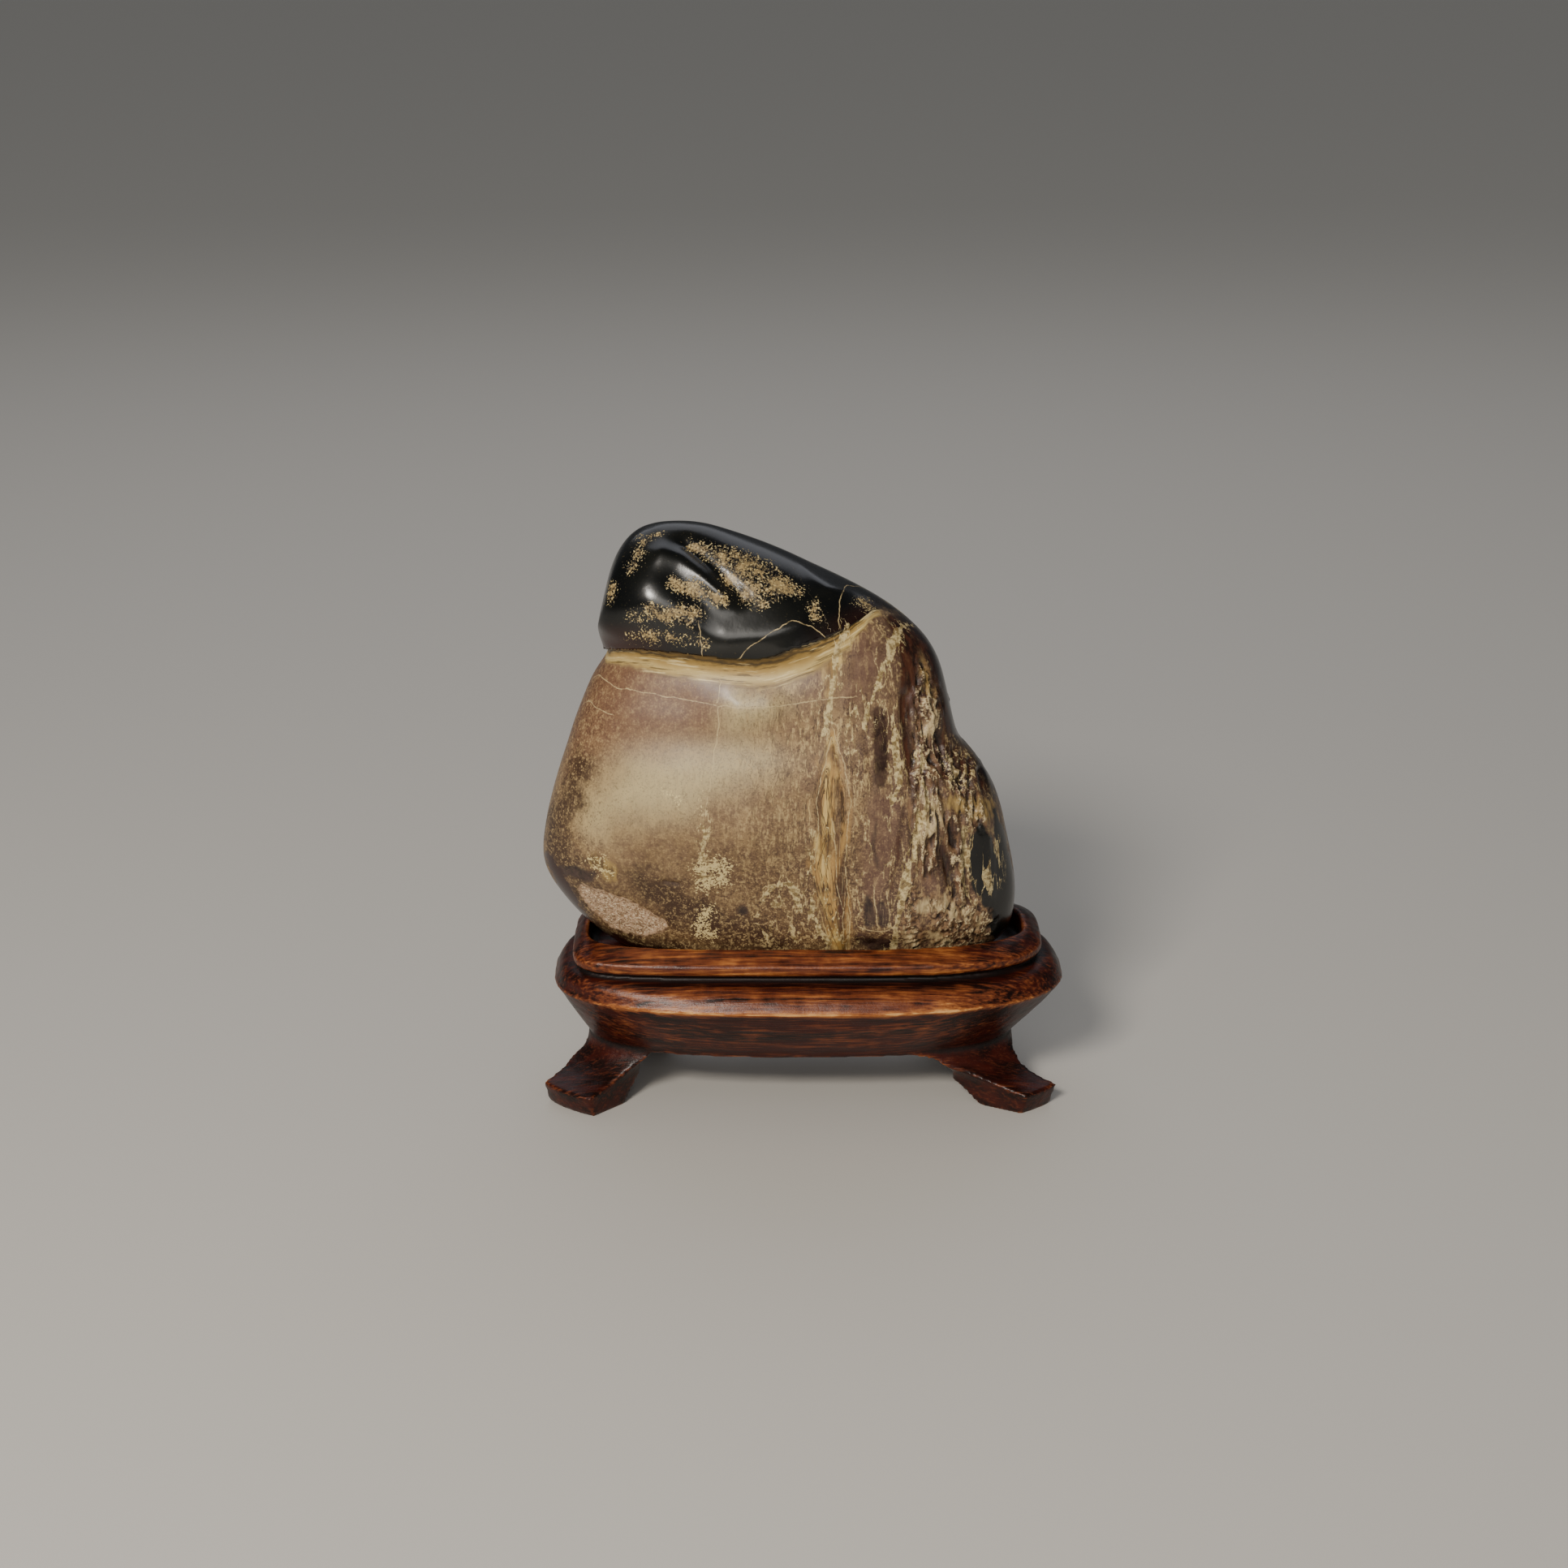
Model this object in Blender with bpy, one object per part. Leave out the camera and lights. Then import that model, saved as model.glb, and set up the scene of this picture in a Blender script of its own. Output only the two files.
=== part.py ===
"""A scholar's rock standing upright in its carved wooden stand.

Two pieces, in metres, +Z up, with the origin on the floor under the middle of the stand:
  stone  one natural stone, water-worn and polished, with a dark cap over a narrow neck
  stand  one block of hardwood, carved as a raised rim, a groove, a cushion moulding, a
         tapering apron and four splayed feet, with a seat cut to the stone's own outline
The display face of the stone looks along -Y.
"""

import math

import bmesh
import bpy
import numpy as np

MM = 0.001

# ---- Driving dimensions, in millimetres ------------------------------------------------

STAND_RING_POINTS = 88
STONE_RING_POINTS = 52
HOLLOW_RING_POINTS = 48
ARCH_STEPS = 6

# Heights of the stand above the floor.
TOE_HEIGHT = 4.8
ARCH_HEIGHT = 12.4
WAIST_HEIGHT = 12.9
CREST_HEIGHT = 26.0
GROOVE_BOTTOM = 30.7
GROOVE_TOP = 32.4
RIM_EDGE_HEIGHT = 35.0
RIM_TOP_HEIGHT = 37.1
SEAT_HEIGHT = 32.0
GROOVE_DEPTH = 0.9
GROOVE_EDGE = 0.3
RIM_EDGE_ROUNDING = 0.5
SEAT_EDGE_DROP = 0.4

# The carved curves between those heights, as shares of the way out and of the way up: the
# flare of the feet up to the waist, the apron up to the crest, the cushion up to the groove
# and the crowned top of the rim down to its outer edge.
FLARE_CURVE = ((0.74, 0.09), (0.50, 0.21), (0.30, 0.37), (0.14, 0.58), (0.05, 0.78))
APRON_CURVE = ((0.10, 0.11), (0.27, 0.26), (0.48, 0.45), (0.70, 0.66), (0.88, 0.85), (0.98, 0.965))
CUSHION_CURVE = ((0.95, 0.25), (0.82, 0.52), (0.58, 0.78), (0.32, 0.93), (0.05, 1.0))
RIM_CURVE = ((0.5, 0.64), (0.14, 1.0))

# Plan outlines of the stand: left, right, front and back reach, then how square each corner
# is (front left, front right, back right, back left), where 2 is an ellipse.
SEAT_OUTLINE = (-46.8, 48.2, -14.7, 15.4, 5.0, 2.2, 4.0, 3.0)
RIM_OUTLINE = (-50.2, 52.5, -19.6, 20.6, 7.5, 2.1, 5.0, 3.0)
CREST_OUTLINE = (-54.3, 56.9, -25.4, 25.4, 3.1, 2.4, 3.1, 2.7)
WAIST_OUTLINE = (-47.3, 46.3, -17.6, 17.6, 2.8, 2.5, 2.6, 2.6)
TOE_OUTLINE = (-60.2, 59.6, -29.5, 27.4, 2.5, 2.5, 2.5, 2.5)
TOE_UNDERCUT = 1.3

# Feet: the middle of the toe, the way it points in degrees from +X, and its width.
FEET = {
    "front_left": (-51.6, -18.0, 226.0, 13.4),
    "front_right": (52.9, -18.0, 332.0, 8.6),
    "back_right": (41.0, 22.0, 57.0, 11.0),
    "back_left": (-41.0, 22.0, 123.0, 11.0),
}
ARCH_FILLET = 9.0

# The clear way from end to end, and the clear way in under the front arch, each with the
# fillet at its ceiling and how far that spreads at its first and last side.
END_WAY_SIDES = (-5.0, 13.0)
END_WAY_FILLET = 5.0
FRONT_WAY_SIDES = (-36.0, 33.0)
FRONT_WAY_FILLET = 6.0
FRONT_WAY_SPREAD = (0.7, 2.0)
FRONT_WAY_END = 4.0

# Each arch from one foot to the next, with how far its haunch spreads at either foot,
# as a share of the fillet.
ARCHES = (
    ("front_left", "front_right", 0.9, 1.7),
    ("front_right", "back_right", 1.3, 0.6),
    ("back_right", "back_left", 1.0, 1.0),
    ("back_left", "front_left", 0.6, 1.2),
)

# The hollow underside: its outline on the floor, and how far it closes in at the left,
# right, front and back for each millimetre of height.
HOLLOW_OUTLINE = (-51.2, 51.4, -19.4, 17.5, 2.5, 2.5, 2.5, 2.5)
HOLLOW_CLOSING = (0.85, 1.45, 0.75, 0.75)
CUTTER_REACH = 34.0
CUTTER_INWARD = 21.0
CUTTER_BELOW = 3.0
SHARE_OF_CROSSING = 0.9
STAND_SHARP_ANGLE = 32.0

# Level sections of the stone: height, left, right, front and back reach.
STONE_SECTIONS = (
    (32.35, -35.6, 38.0, -9.0, 9.6),
    (32.9, -39.0, 41.2, -11.6, 12.2),
    (34.8, -42.6, 44.2, -13.2, 13.9),
    (37.4, -45.6, 45.8, -14.0, 14.8),
    (41.1, -49.3, 46.4, -15.4, 16.4),
    (46.0, -53.0, 46.6, -16.8, 18.0),
    (52.4, -56.4, 45.7, -18.3, 19.4),
    (59.0, -56.0, 44.2, -19.5, 20.3),
    (66.0, -54.6, 42.6, -20.3, 20.7),
    (72.5, -52.9, 39.8, -20.5, 20.5),
    (77.0, -51.4, 36.4, -20.2, 20.1),
    (80.0, -50.4, 33.6, -19.8, 19.8),
    (84.5, -48.9, 32.2, -19.0, 19.3),
    (91.0, -46.3, 30.7, -17.5, 18.5),
    (97.0, -43.9, 29.1, -16.3, 17.7),
    (102.0, -42.4, 26.3, -16.0, 17.2),
    (106.5, -42.3, 21.8, -16.0, 16.7),
    (111.2, -42.0, 15.4, -15.2, 15.6),
    (116.9, -41.0, 4.2, -12.8, 13.3),
    (121.8, -39.0, -6.2, -9.4, 10.2),
    (125.3, -36.0, -15.4, -6.0, 6.9),
    (127.1, -32.4, -21.0, -3.0, 3.8),
    (127.6, -27.5, -26.5, -0.2, 0.4),
)
STONE_SQUARENESS = (2.7, 2.3, 2.5, 2.5)
ROWS_PER_SECTION = 2
STONE_SHARP_ANGLE = 60.0

# The lip of the cap, as x and height along the front, and the relief that goes with it.
LIP_LINE = ((-50.0, 102.0), (-20.0, 103.2), (-8.0, 102.6), (4.0, 104.6), (16.0, 109.0))
LIP_RISE = 1.5
LIP_EDGE = (-1.2, 1.4)
LIP_WIDTH = 7.0
NECK_DEPTH = 1.7
NECK_BELOW_LIP = 3.4
NECK_WIDTH = 2.6
NECK_FADE = (-3.0, 14.0)

# The broken facet low on the left, as a cutting plane: a point on it and the way it faces.
FACET_POINT = (-45.5, -13.6, 46.0)
FACET_NORMAL = (-0.60, -0.62, -0.50)

# The stone swells forward over the rim low on the right: middle, reach and height of it.
SWELL_MIDDLE = (21.0, 44.0)
SWELL_REACH = (14.0, 9.0)
SWELL_RISE = 2.2
SWELL_ABOVE_RIM = (0.2, 4.0)


# ---- Shared shape functions ------------------------------------------------------------


def remove_everything():
    for thing in list(bpy.data.objects):
        bpy.data.objects.remove(thing, do_unlink=True)


def material(name, colour, roughness):
    made = bpy.data.materials.new(name)
    made.use_nodes = True
    shader = made.node_tree.nodes["Principled BSDF"]
    shader.inputs["Base Color"].default_value = (*colour, 1.0)
    shader.inputs["Roughness"].default_value = roughness
    shader.inputs["Metallic"].default_value = 0.0
    return made


def smooth_step(low, high, value):
    share = np.clip((value - low) / (high - low), 0.0, 1.0)
    return share * share * (3.0 - 2.0 * share)


def outline_ring(outline, points, grow=0.0):
    """Points of a closed plan outline, counter-clockwise from +X, with blended corners."""
    left, right, front, back, front_left, front_right, back_right, back_left = outline
    turn = np.arange(points) * 2.0 * math.pi / points
    middle_x, middle_y = (left + right) / 2.0, (front + back) / 2.0
    half_x, half_y = (right - left) / 2.0 + grow, (back - front) / 2.0 + grow
    to_right, to_back = (1.0 + np.cos(turn)) / 2.0, (1.0 + np.sin(turn)) / 2.0
    in_front = front_left + (front_right - front_left) * to_right
    behind = back_left + (back_right - back_left) * to_right
    square = in_front + (behind - in_front) * to_back
    heading = np.arctan2(half_y * np.sin(turn), half_x * np.cos(turn))
    reach_x = np.abs(np.cos(heading) / half_x) ** square
    reach_y = np.abs(np.sin(heading) / half_y) ** square
    radius = (reach_x + reach_y) ** (-1.0 / square)
    return np.stack([middle_x + radius * np.cos(heading), middle_y + radius * np.sin(heading)], 1)


def at_height(ring, height):
    return np.column_stack([ring, np.full(len(ring), height)])


def loft(name, rings, finish=None):
    """A closed solid through rings that are listed from the bottom up, or round a section."""
    shape = bmesh.new()
    rows = [[shape.verts.new(point * MM) for point in ring] for ring in rings]
    for lower, upper in zip(rows, rows[1:]):
        for i in range(len(lower)):
            j = (i + 1) % len(lower)
            shape.faces.new((lower[i], lower[j], upper[j], upper[i]))
    shape.faces.new(list(reversed(rows[0])))
    shape.faces.new(rows[-1])
    shape.normal_update()
    mesh = bpy.data.meshes.new(name)
    shape.to_mesh(mesh)
    shape.free()
    made = bpy.data.objects.new(name, mesh)
    bpy.context.scene.collection.objects.link(made)
    if finish:
        mesh.materials.append(finish)
    return made


def soften(thing, sharp_angle):
    thing.data.shade_smooth()
    thing.data.set_sharp_from_angle(angle=math.radians(sharp_angle))


# ---- The stand -------------------------------------------------------------------------


def stand_rings():
    """The carved section, from the floor up the outside, over the rim and into the seat."""
    points = STAND_RING_POINTS
    seat = outline_ring(SEAT_OUTLINE, points)
    rim = outline_ring(RIM_OUTLINE, points)
    crest = outline_ring(CREST_OUTLINE, points)
    waist = outline_ring(WAIST_OUTLINE, points)
    toe = outline_ring(TOE_OUTLINE, points)

    def between(first, last, share):
        return first + (last - first) * share

    rings = [
        at_height(outline_ring(TOE_OUTLINE, points, -TOE_UNDERCUT), 0.0),
        at_height(toe, TOE_HEIGHT),
    ]
    for outward, upward in FLARE_CURVE:
        height = between(TOE_HEIGHT, WAIST_HEIGHT, upward)
        rings.append(at_height(between(waist, toe, outward), height))
    rings.append(at_height(waist, WAIST_HEIGHT))
    for outward, upward in APRON_CURVE:
        height = between(WAIST_HEIGHT, CREST_HEIGHT, upward)
        rings.append(at_height(between(waist, crest, outward), height))
    rings.append(at_height(crest, CREST_HEIGHT))
    for outward, upward in CUSHION_CURVE:
        height = between(CREST_HEIGHT, GROOVE_BOTTOM, upward)
        rings.append(at_height(between(rim, crest, outward), height))
    in_groove = outline_ring(RIM_OUTLINE, points, -GROOVE_DEPTH)
    rings += [
        at_height(in_groove, GROOVE_BOTTOM + GROOVE_EDGE),
        at_height(in_groove, GROOVE_TOP - GROOVE_EDGE),
        at_height(rim, GROOVE_TOP),
        at_height(rim, RIM_EDGE_HEIGHT - RIM_EDGE_ROUNDING),
        at_height(outline_ring(RIM_OUTLINE, points, -RIM_EDGE_ROUNDING), RIM_EDGE_HEIGHT),
    ]
    for outward, upward in RIM_CURVE:
        height = between(RIM_EDGE_HEIGHT, RIM_TOP_HEIGHT, upward)
        rings.append(at_height(between(seat, rim, outward), height))
    rings += [
        at_height(seat, RIM_TOP_HEIGHT - SEAT_EDGE_DROP),
        at_height(seat, SEAT_HEIGHT),
    ]
    return rings


def foot_lines(foot):
    """Unit vectors along and across a foot, and the middle of its toe."""
    x, y, pointing, width = FEET[foot]
    angle = math.radians(pointing)
    along = np.array([math.cos(angle), math.sin(angle)])
    across = np.array([-along[1], along[0]])
    return np.array([x, y]), along, across, width / 2.0


def arch_rings(fillet, outline_at):
    """Plan outlines of an opening as it closes from the floor up to its ceiling."""
    springing = ARCH_HEIGHT - fillet
    heights = [-CUTTER_BELOW, 0.0, springing]
    for step in range(1, ARCH_STEPS + 1):
        heights.append(springing + fillet * math.sin(math.pi / 2.0 * step / ARCH_STEPS))
    rings = []
    for height in heights:
        over = max(0.0, height - springing)
        closing = fillet - math.sqrt(max(0.0, fillet**2 - over**2))
        rings.append(at_height(outline_at(closing), height))
    return rings


def between_feet(first, last, near_spread, far_spread, closing):
    """The plan of the gap that runs counter-clockwise from one foot to the next."""
    start, start_along, start_across, start_half = foot_lines(first)
    end, end_along, end_across, end_half = foot_lines(last)
    near = start + start_across * (start_half + closing * near_spread)
    far = end - end_across * (end_half + closing * far_spread)
    crossing = np.linalg.solve(np.column_stack([-start_along, end_along]), far - near)
    inward = [
        min(CUTTER_INWARD, SHARE_OF_CROSSING * distance) if distance > 0.0 else CUTTER_INWARD
        for distance in crossing
    ]
    corners = [
        near + start_along * CUTTER_REACH,
        far + end_along * CUTTER_REACH,
        far - end_along * inward[1],
        near - start_along * inward[0],
    ]
    return np.array(corners)


def hollow_rings():
    """Plan outlines of the hollow underside, which slopes in from the feet to the ceiling."""
    left, right, front, back, *square = HOLLOW_OUTLINE
    closing = HOLLOW_CLOSING
    rings = []
    for height in (-CUTTER_BELOW, 0.0, ARCH_HEIGHT / 2.0, ARCH_HEIGHT):
        up = max(0.0, height)
        outline = (
            left + closing[0] * up,
            right - closing[1] * up,
            front + closing[2] * up,
            back - closing[3] * up,
            *square,
        )
        rings.append(at_height(outline_ring(outline, HOLLOW_RING_POINTS), height))
    return rings


def end_way(closing):
    """The plan of the opening that runs under the stand from end to end."""
    front, back = END_WAY_SIDES[0] + closing, END_WAY_SIDES[1] - closing
    reach = CREST_OUTLINE[1] + CUTTER_REACH
    return np.array([(-reach, front), (reach, front), (reach, back), (-reach, back)])


def front_way(closing):
    """The plan of the opening that runs in under the middle of the front arch."""
    left = FRONT_WAY_SIDES[0] + closing * FRONT_WAY_SPREAD[0]
    right = FRONT_WAY_SIDES[1] - closing * FRONT_WAY_SPREAD[1]
    front = CREST_OUTLINE[2] - CUTTER_REACH
    return np.array([(left, front), (right, front), (right, FRONT_WAY_END), (left, FRONT_WAY_END)])


def cutter(name, rings):
    made = loft(name, rings)
    made.hide_render = True
    made.display_type = "WIRE"
    return made


def carve(thing, tool):
    cut = thing.modifiers.new(tool.name, "BOOLEAN")
    cut.operation = "DIFFERENCE"
    cut.solver = "EXACT"
    cut.object = tool


def make_stand():
    wood = material("dark hardwood", (0.060, 0.021, 0.011), 0.38)
    stand = loft("stand", stand_rings(), wood)
    for first, last, near_spread, far_spread in ARCHES:

        def gap_outline(closing, first=first, last=last, near=near_spread, far=far_spread):
            return between_feet(first, last, near, far, closing)

        carve(stand, cutter(f"gap_{first}_to_{last}", arch_rings(ARCH_FILLET, gap_outline)))
    carve(stand, cutter("hollow_underside", hollow_rings()))
    carve(stand, cutter("end_way", arch_rings(END_WAY_FILLET, end_way)))
    carve(stand, cutter("front_way", arch_rings(FRONT_WAY_FILLET, front_way)))
    soften(stand, STAND_SHARP_ANGLE)
    return stand


# ---- The stone -------------------------------------------------------------------------


def section_values():
    """The sections, filled in between by a smooth curve through all of them."""
    known = np.array(STONE_SECTIONS)
    padded = np.vstack([known[0], known, known[-1]])
    rows = []
    for i in range(len(known) - 1):
        before, start, end, after = padded[i : i + 4]
        for step in range(ROWS_PER_SECTION):
            t = step / ROWS_PER_SECTION
            rows.append(
                0.5
                * (
                    2.0 * start
                    + (end - before) * t
                    + (2.0 * before - 5.0 * start + 4.0 * end - after) * t**2
                    + (3.0 * start - before - 3.0 * end + after) * t**3
                )
            )
    rows.append(known[-1])
    return rows


def relief(points):
    """How far the surface stands out from the plain sections, at points on it."""
    x, height = points[:, 0], points[:, 2]
    lip_x, lip_height = np.array(LIP_LINE).T
    above = height - np.interp(x, lip_x, lip_height)
    fade = 1.0 - smooth_step(*NECK_FADE, x)
    lip = LIP_RISE * smooth_step(*LIP_EDGE, above)
    lip *= np.exp(-((np.maximum(above, 0.0) / LIP_WIDTH) ** 2))
    neck = -NECK_DEPTH * np.exp(-(((above + NECK_BELOW_LIP) / NECK_WIDTH) ** 2))
    to_middle = (x - SWELL_MIDDLE[0]) / SWELL_REACH[0]
    to_height = (height - SWELL_MIDDLE[1]) / SWELL_REACH[1]
    low = smooth_step(*SWELL_ABOVE_RIM, height - RIM_TOP_HEIGHT)
    swell = SWELL_RISE * np.exp(-(to_middle**2) - to_height**2) * (points[:, 1] < 0.0) * low
    return (lip + neck) * fade + swell


def cut_facet(points):
    point, normal = np.array(FACET_POINT), np.array(FACET_NORMAL)
    normal = normal / np.linalg.norm(normal)
    outside = np.maximum((points - point) @ normal, 0.0)
    return points - np.outer(outside, normal)


def make_stone():
    rings = []
    for height, left, right, front, back in section_values():
        ring = outline_ring((left, right, front, back, *STONE_SQUARENESS), STONE_RING_POINTS)
        points = at_height(ring, height)
        ahead, behind = np.roll(ring, -1, 0), np.roll(ring, 1, 0)
        edge = ahead - behind
        outward = np.stack([edge[:, 1], -edge[:, 0]], 1)
        outward /= np.maximum(np.linalg.norm(outward, axis=1), 1e-9)[:, None]
        points[:, :2] += outward * relief(points)[:, None]
        rings.append(cut_facet(points))
    stone = loft("stone", rings, material("polished jasper", (0.20, 0.13, 0.085), 0.22))
    soften(stone, STONE_SHARP_ANGLE)
    return stone


remove_everything()
make_stand()
make_stone()
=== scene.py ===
"""A scholar's rock in its carved hardwood stand, ready for display.

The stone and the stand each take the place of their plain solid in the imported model, as a
finer surface of the same size in the same place. Lengths are in millimetres unless a name
says otherwise, and the object's own frame is used throughout, with +Z up.
"""

import math

import bmesh
import bpy
import numpy as np
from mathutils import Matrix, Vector, noise


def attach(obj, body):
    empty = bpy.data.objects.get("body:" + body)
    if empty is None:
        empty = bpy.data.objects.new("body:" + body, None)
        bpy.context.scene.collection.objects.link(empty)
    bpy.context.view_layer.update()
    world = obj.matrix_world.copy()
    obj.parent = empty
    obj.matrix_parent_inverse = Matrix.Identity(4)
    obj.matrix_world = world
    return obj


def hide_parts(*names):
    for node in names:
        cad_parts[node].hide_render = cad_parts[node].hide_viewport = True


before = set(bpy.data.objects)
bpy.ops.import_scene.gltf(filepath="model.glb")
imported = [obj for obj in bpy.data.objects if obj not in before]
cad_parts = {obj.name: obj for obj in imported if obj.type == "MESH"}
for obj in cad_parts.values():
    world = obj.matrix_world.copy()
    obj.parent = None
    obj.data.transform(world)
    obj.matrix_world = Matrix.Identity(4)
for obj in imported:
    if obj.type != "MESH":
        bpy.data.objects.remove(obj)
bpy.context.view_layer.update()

# ---- The stone: its shape ---------------------------------------------------------------
# One river-worn stone of silicified limestone, rubbed and waxed by hand. A black glossy cap
# overhangs a soft yellow seam that wore back faster, and the body is left gently pillowed.

MM = 0.001
STONE_GRAIN_SIZE = 0.55  # spacing of the points of the finest surface
MERGE_DISTANCE = 1e-6


def fine_skin(node, piece, spacing, rounding, smoothing):
    """A closed, evenly fine surface over a plain solid, rounded first where it is natural."""
    shape = bmesh.new()
    shape.from_mesh(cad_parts[node].data)
    bmesh.ops.remove_doubles(shape, verts=shape.verts, dist=MERGE_DISTANCE)
    flat = math.radians(40.0)
    bmesh.ops.join_triangles(
        shape, faces=shape.faces, angle_face_threshold=flat, angle_shape_threshold=flat
    )
    mesh = bpy.data.meshes.new(piece)
    shape.to_mesh(mesh)
    shape.free()
    made = bpy.data.objects.new(piece, mesh)
    bpy.context.scene.collection.objects.link(made)
    if rounding:
        rounded = made.modifiers.new("rounded", "SUBSURF")
        rounded.levels = rounding
    even = made.modifiers.new("even", "REMESH")
    even.mode = "VOXEL"
    even.voxel_size = spacing * MM
    even.use_smooth_shade = True
    rubbed = made.modifiers.new("rubbed", "SMOOTH")
    rubbed.factor = 0.5
    rubbed.iterations = smoothing
    finished = made.evaluated_get(bpy.context.evaluated_depsgraph_get())
    made.data = bpy.data.meshes.new_from_object(finished)
    made.modifiers.clear()
    return made


def read(mesh, what, kind, size):
    """What a mesh says of each of its points or edges, as an array with a row for each."""
    values = np.empty(len(getattr(mesh, kind)) * size, int if what == "vertices" else float)
    getattr(mesh, kind).foreach_get(what, values)
    return values.reshape(-1, size)


def worn(values, edges, rounds):
    """Evens out values over a surface, each with its neighbours, as many times as asked."""
    first, last = edges.T
    count = np.bincount(edges.ravel(), minlength=len(values))
    for _ in range(rounds):
        nearby = np.bincount(first, values[last], len(values))
        nearby += np.bincount(last, values[first], len(values))
        values = 0.5 * values + 0.5 * nearby / count
    return values


def lumps(points, size, seed, octaves=2, stretch=(1.0, 1.0, 1.0)):
    """Smooth noise from about -1 to 1, in lumps of about that size, longer where stretched."""
    places = points / (size * np.array(stretch)) + seed * 17.31
    return np.array([noise.fractal(Vector(p), 1.0, 2.0, octaves) for p in places])


def step(low, high, value):
    """Rises softly from 0 at the first number to 1 at the second."""
    share = np.clip((value - low) / (high - low), 0.0, 1.0)
    return share * share * (3.0 - 2.0 * share)


stone = fine_skin("stone", "stone_skin", STONE_GRAIN_SIZE, rounding=2, smoothing=14)
skin = read(stone.data, "co", "vertices", 3) / MM
links = read(stone.data, "vertices", "edges", 2)

# The face of the cap stands nearly upright up to a crest that winds down from the left, and
# above it the stone slopes back as a shelf. The crest and the face, as x with height or depth.
CREST_LINE = (
    (-43.0, 117.0), (-38.0, 119.2), (-32.0, 121.2), (-27.0, 119.2), (-22.0, 116.2), (-17.0, 113.0),
    (-12.0, 110.9), (-7.0, 110.6), (-2.0, 112.2), (5.0, 115.5),
)
FACE_MIDDLE, FACE_REACH, FACE_DEPTH = -17.0, 27.0, -16.8
FACE_FOOT, FACE_START = 104.0, 108.0
CREST_FALL, CREST_ROUNDING = 7.0, 0.075
LIGHT_RUBBING, LONG_RUBBING = 6, 60
crest_across, crest_height = np.array(CREST_LINE).T
over_crest = skin[:, 2] - np.interp(skin[:, 0], crest_across, crest_height)
round_the_face = np.clip(np.abs(skin[:, 0] - FACE_MIDDLE) / FACE_REACH, 0.0, 1.0) ** 3
face = FACE_DEPTH * (1.0 - round_the_face) ** (1.0 / 3.0)
face += CREST_ROUNDING * np.square(np.maximum(over_crest + CREST_FALL, 0.0))
on_face = step(FACE_FOOT, FACE_START, skin[:, 2]) * (skin[:, 1] < -1.0)
skin[:, 1] -= on_face * np.maximum(skin[:, 1] - face, 0.0)
skin = np.stack([worn(skin[:, axis], links, LIGHT_RUBBING) for axis in range(3)], 1)
softened = np.stack([worn(skin[:, axis], links, LONG_RUBBING) for axis in range(3)], 1)
near_crest = step(9.0, 3.0, np.abs(over_crest)) * step(101.0, 105.0, skin[:, 2])
skin += near_crest[:, None] * (softened - skin)
stone.data.vertices.foreach_set("co", (skin * MM).ravel())
stone.data.update()
facing = read(stone.data, "normal", "vertices", 3)

# Markings are laid out across and up, as the stone is seen on a shelf from 20 degrees above.
# The same layers run through to the back, where they wander.
SHELF_VIEW = math.radians(20.0)
FRONT_ENDS, BACK_STARTS = -6.0, 8.0
to_back = step(FRONT_ENDS, BACK_STARTS, skin[:, 1])
across = skin[:, 0] + to_back * 5.0 * lumps(skin, 17.0, seed=1)
up = skin[:, 2] * math.cos(SHELF_VIEW) - np.abs(skin[:, 1]) * math.sin(SHELF_VIEW)
up += to_back * 3.0 * lumps(skin, 23.0, seed=2)


FAR = 20.0


def drawn(strokes):
    """How far inside a group of strokes each point of the skin is, negative outside them."""
    best = np.full(len(across), -FAR)
    for stroke in strokes:
        for (x0, z0, w0), (x1, z1, w1) in zip(stroke, stroke[1:] or stroke):
            dx, dz = x1 - x0, z1 - z0
            along = ((across - x0) * dx + (up - z0) * dz) / max(dx * dx + dz * dz, 1e-6)
            along = np.clip(along, 0.0, 1.0)
            away = np.hypot(across - x0 - along * dx, up - z0 - along * dz)
            best = np.maximum(best, w0 + along * (w1 - w0) - away)
    return best


# The lower edge of the cap, across and up. Right of its peak the black runs down the flank.
CAP_EDGE = (
    (-50.0, 94.2), (-42.0, 93.8), (-37.2, 93.4), (-32.0, 93.1), (-26.9, 92.5), (-21.9, 92.0),
    (-16.0, 91.3), (-10.1, 91.0), (-5.9, 91.8), (-2.6, 92.9), (3.3, 94.8), (9.2, 97.6),
    (12.1, 99.8), (14.6, 101.6), (16.6, 101.9), (18.6, 101.0), (21.0, 99.4), (24.0, 97.8),
    (26.5, 94.5), (28.6, 87.5), (30.2, 81.5), (32.5, 76.8), (36.2, 72.5), (40.0, 64.0),
)
edge_across, edge_up = np.array(CAP_EDGE).T
above = up - np.interp(across, edge_across, edge_up)
OVERHANG, OVERHANG_FADE, UNDERCUT, UNDERCUT_FADE = 0.55, 1.6, 0.75, 1.9
lip = np.where(
    above > 0.0,
    OVERHANG * np.exp(-np.abs(above) / OVERHANG_FADE),
    -UNDERCUT * np.exp(-np.abs(above) / UNDERCUT_FADE),
)
relief = (1.0 - step(6.0, 15.0, across)) * lip

# At the back the other markings wander further than the cap's edge does, and sit lower.
across += to_back * (7.0 * lumps(skin, 20.0, seed=13) - 1.5)
up += to_back * (9.0 * lumps(skin, 26.0, seed=14) + 4.0)

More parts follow.
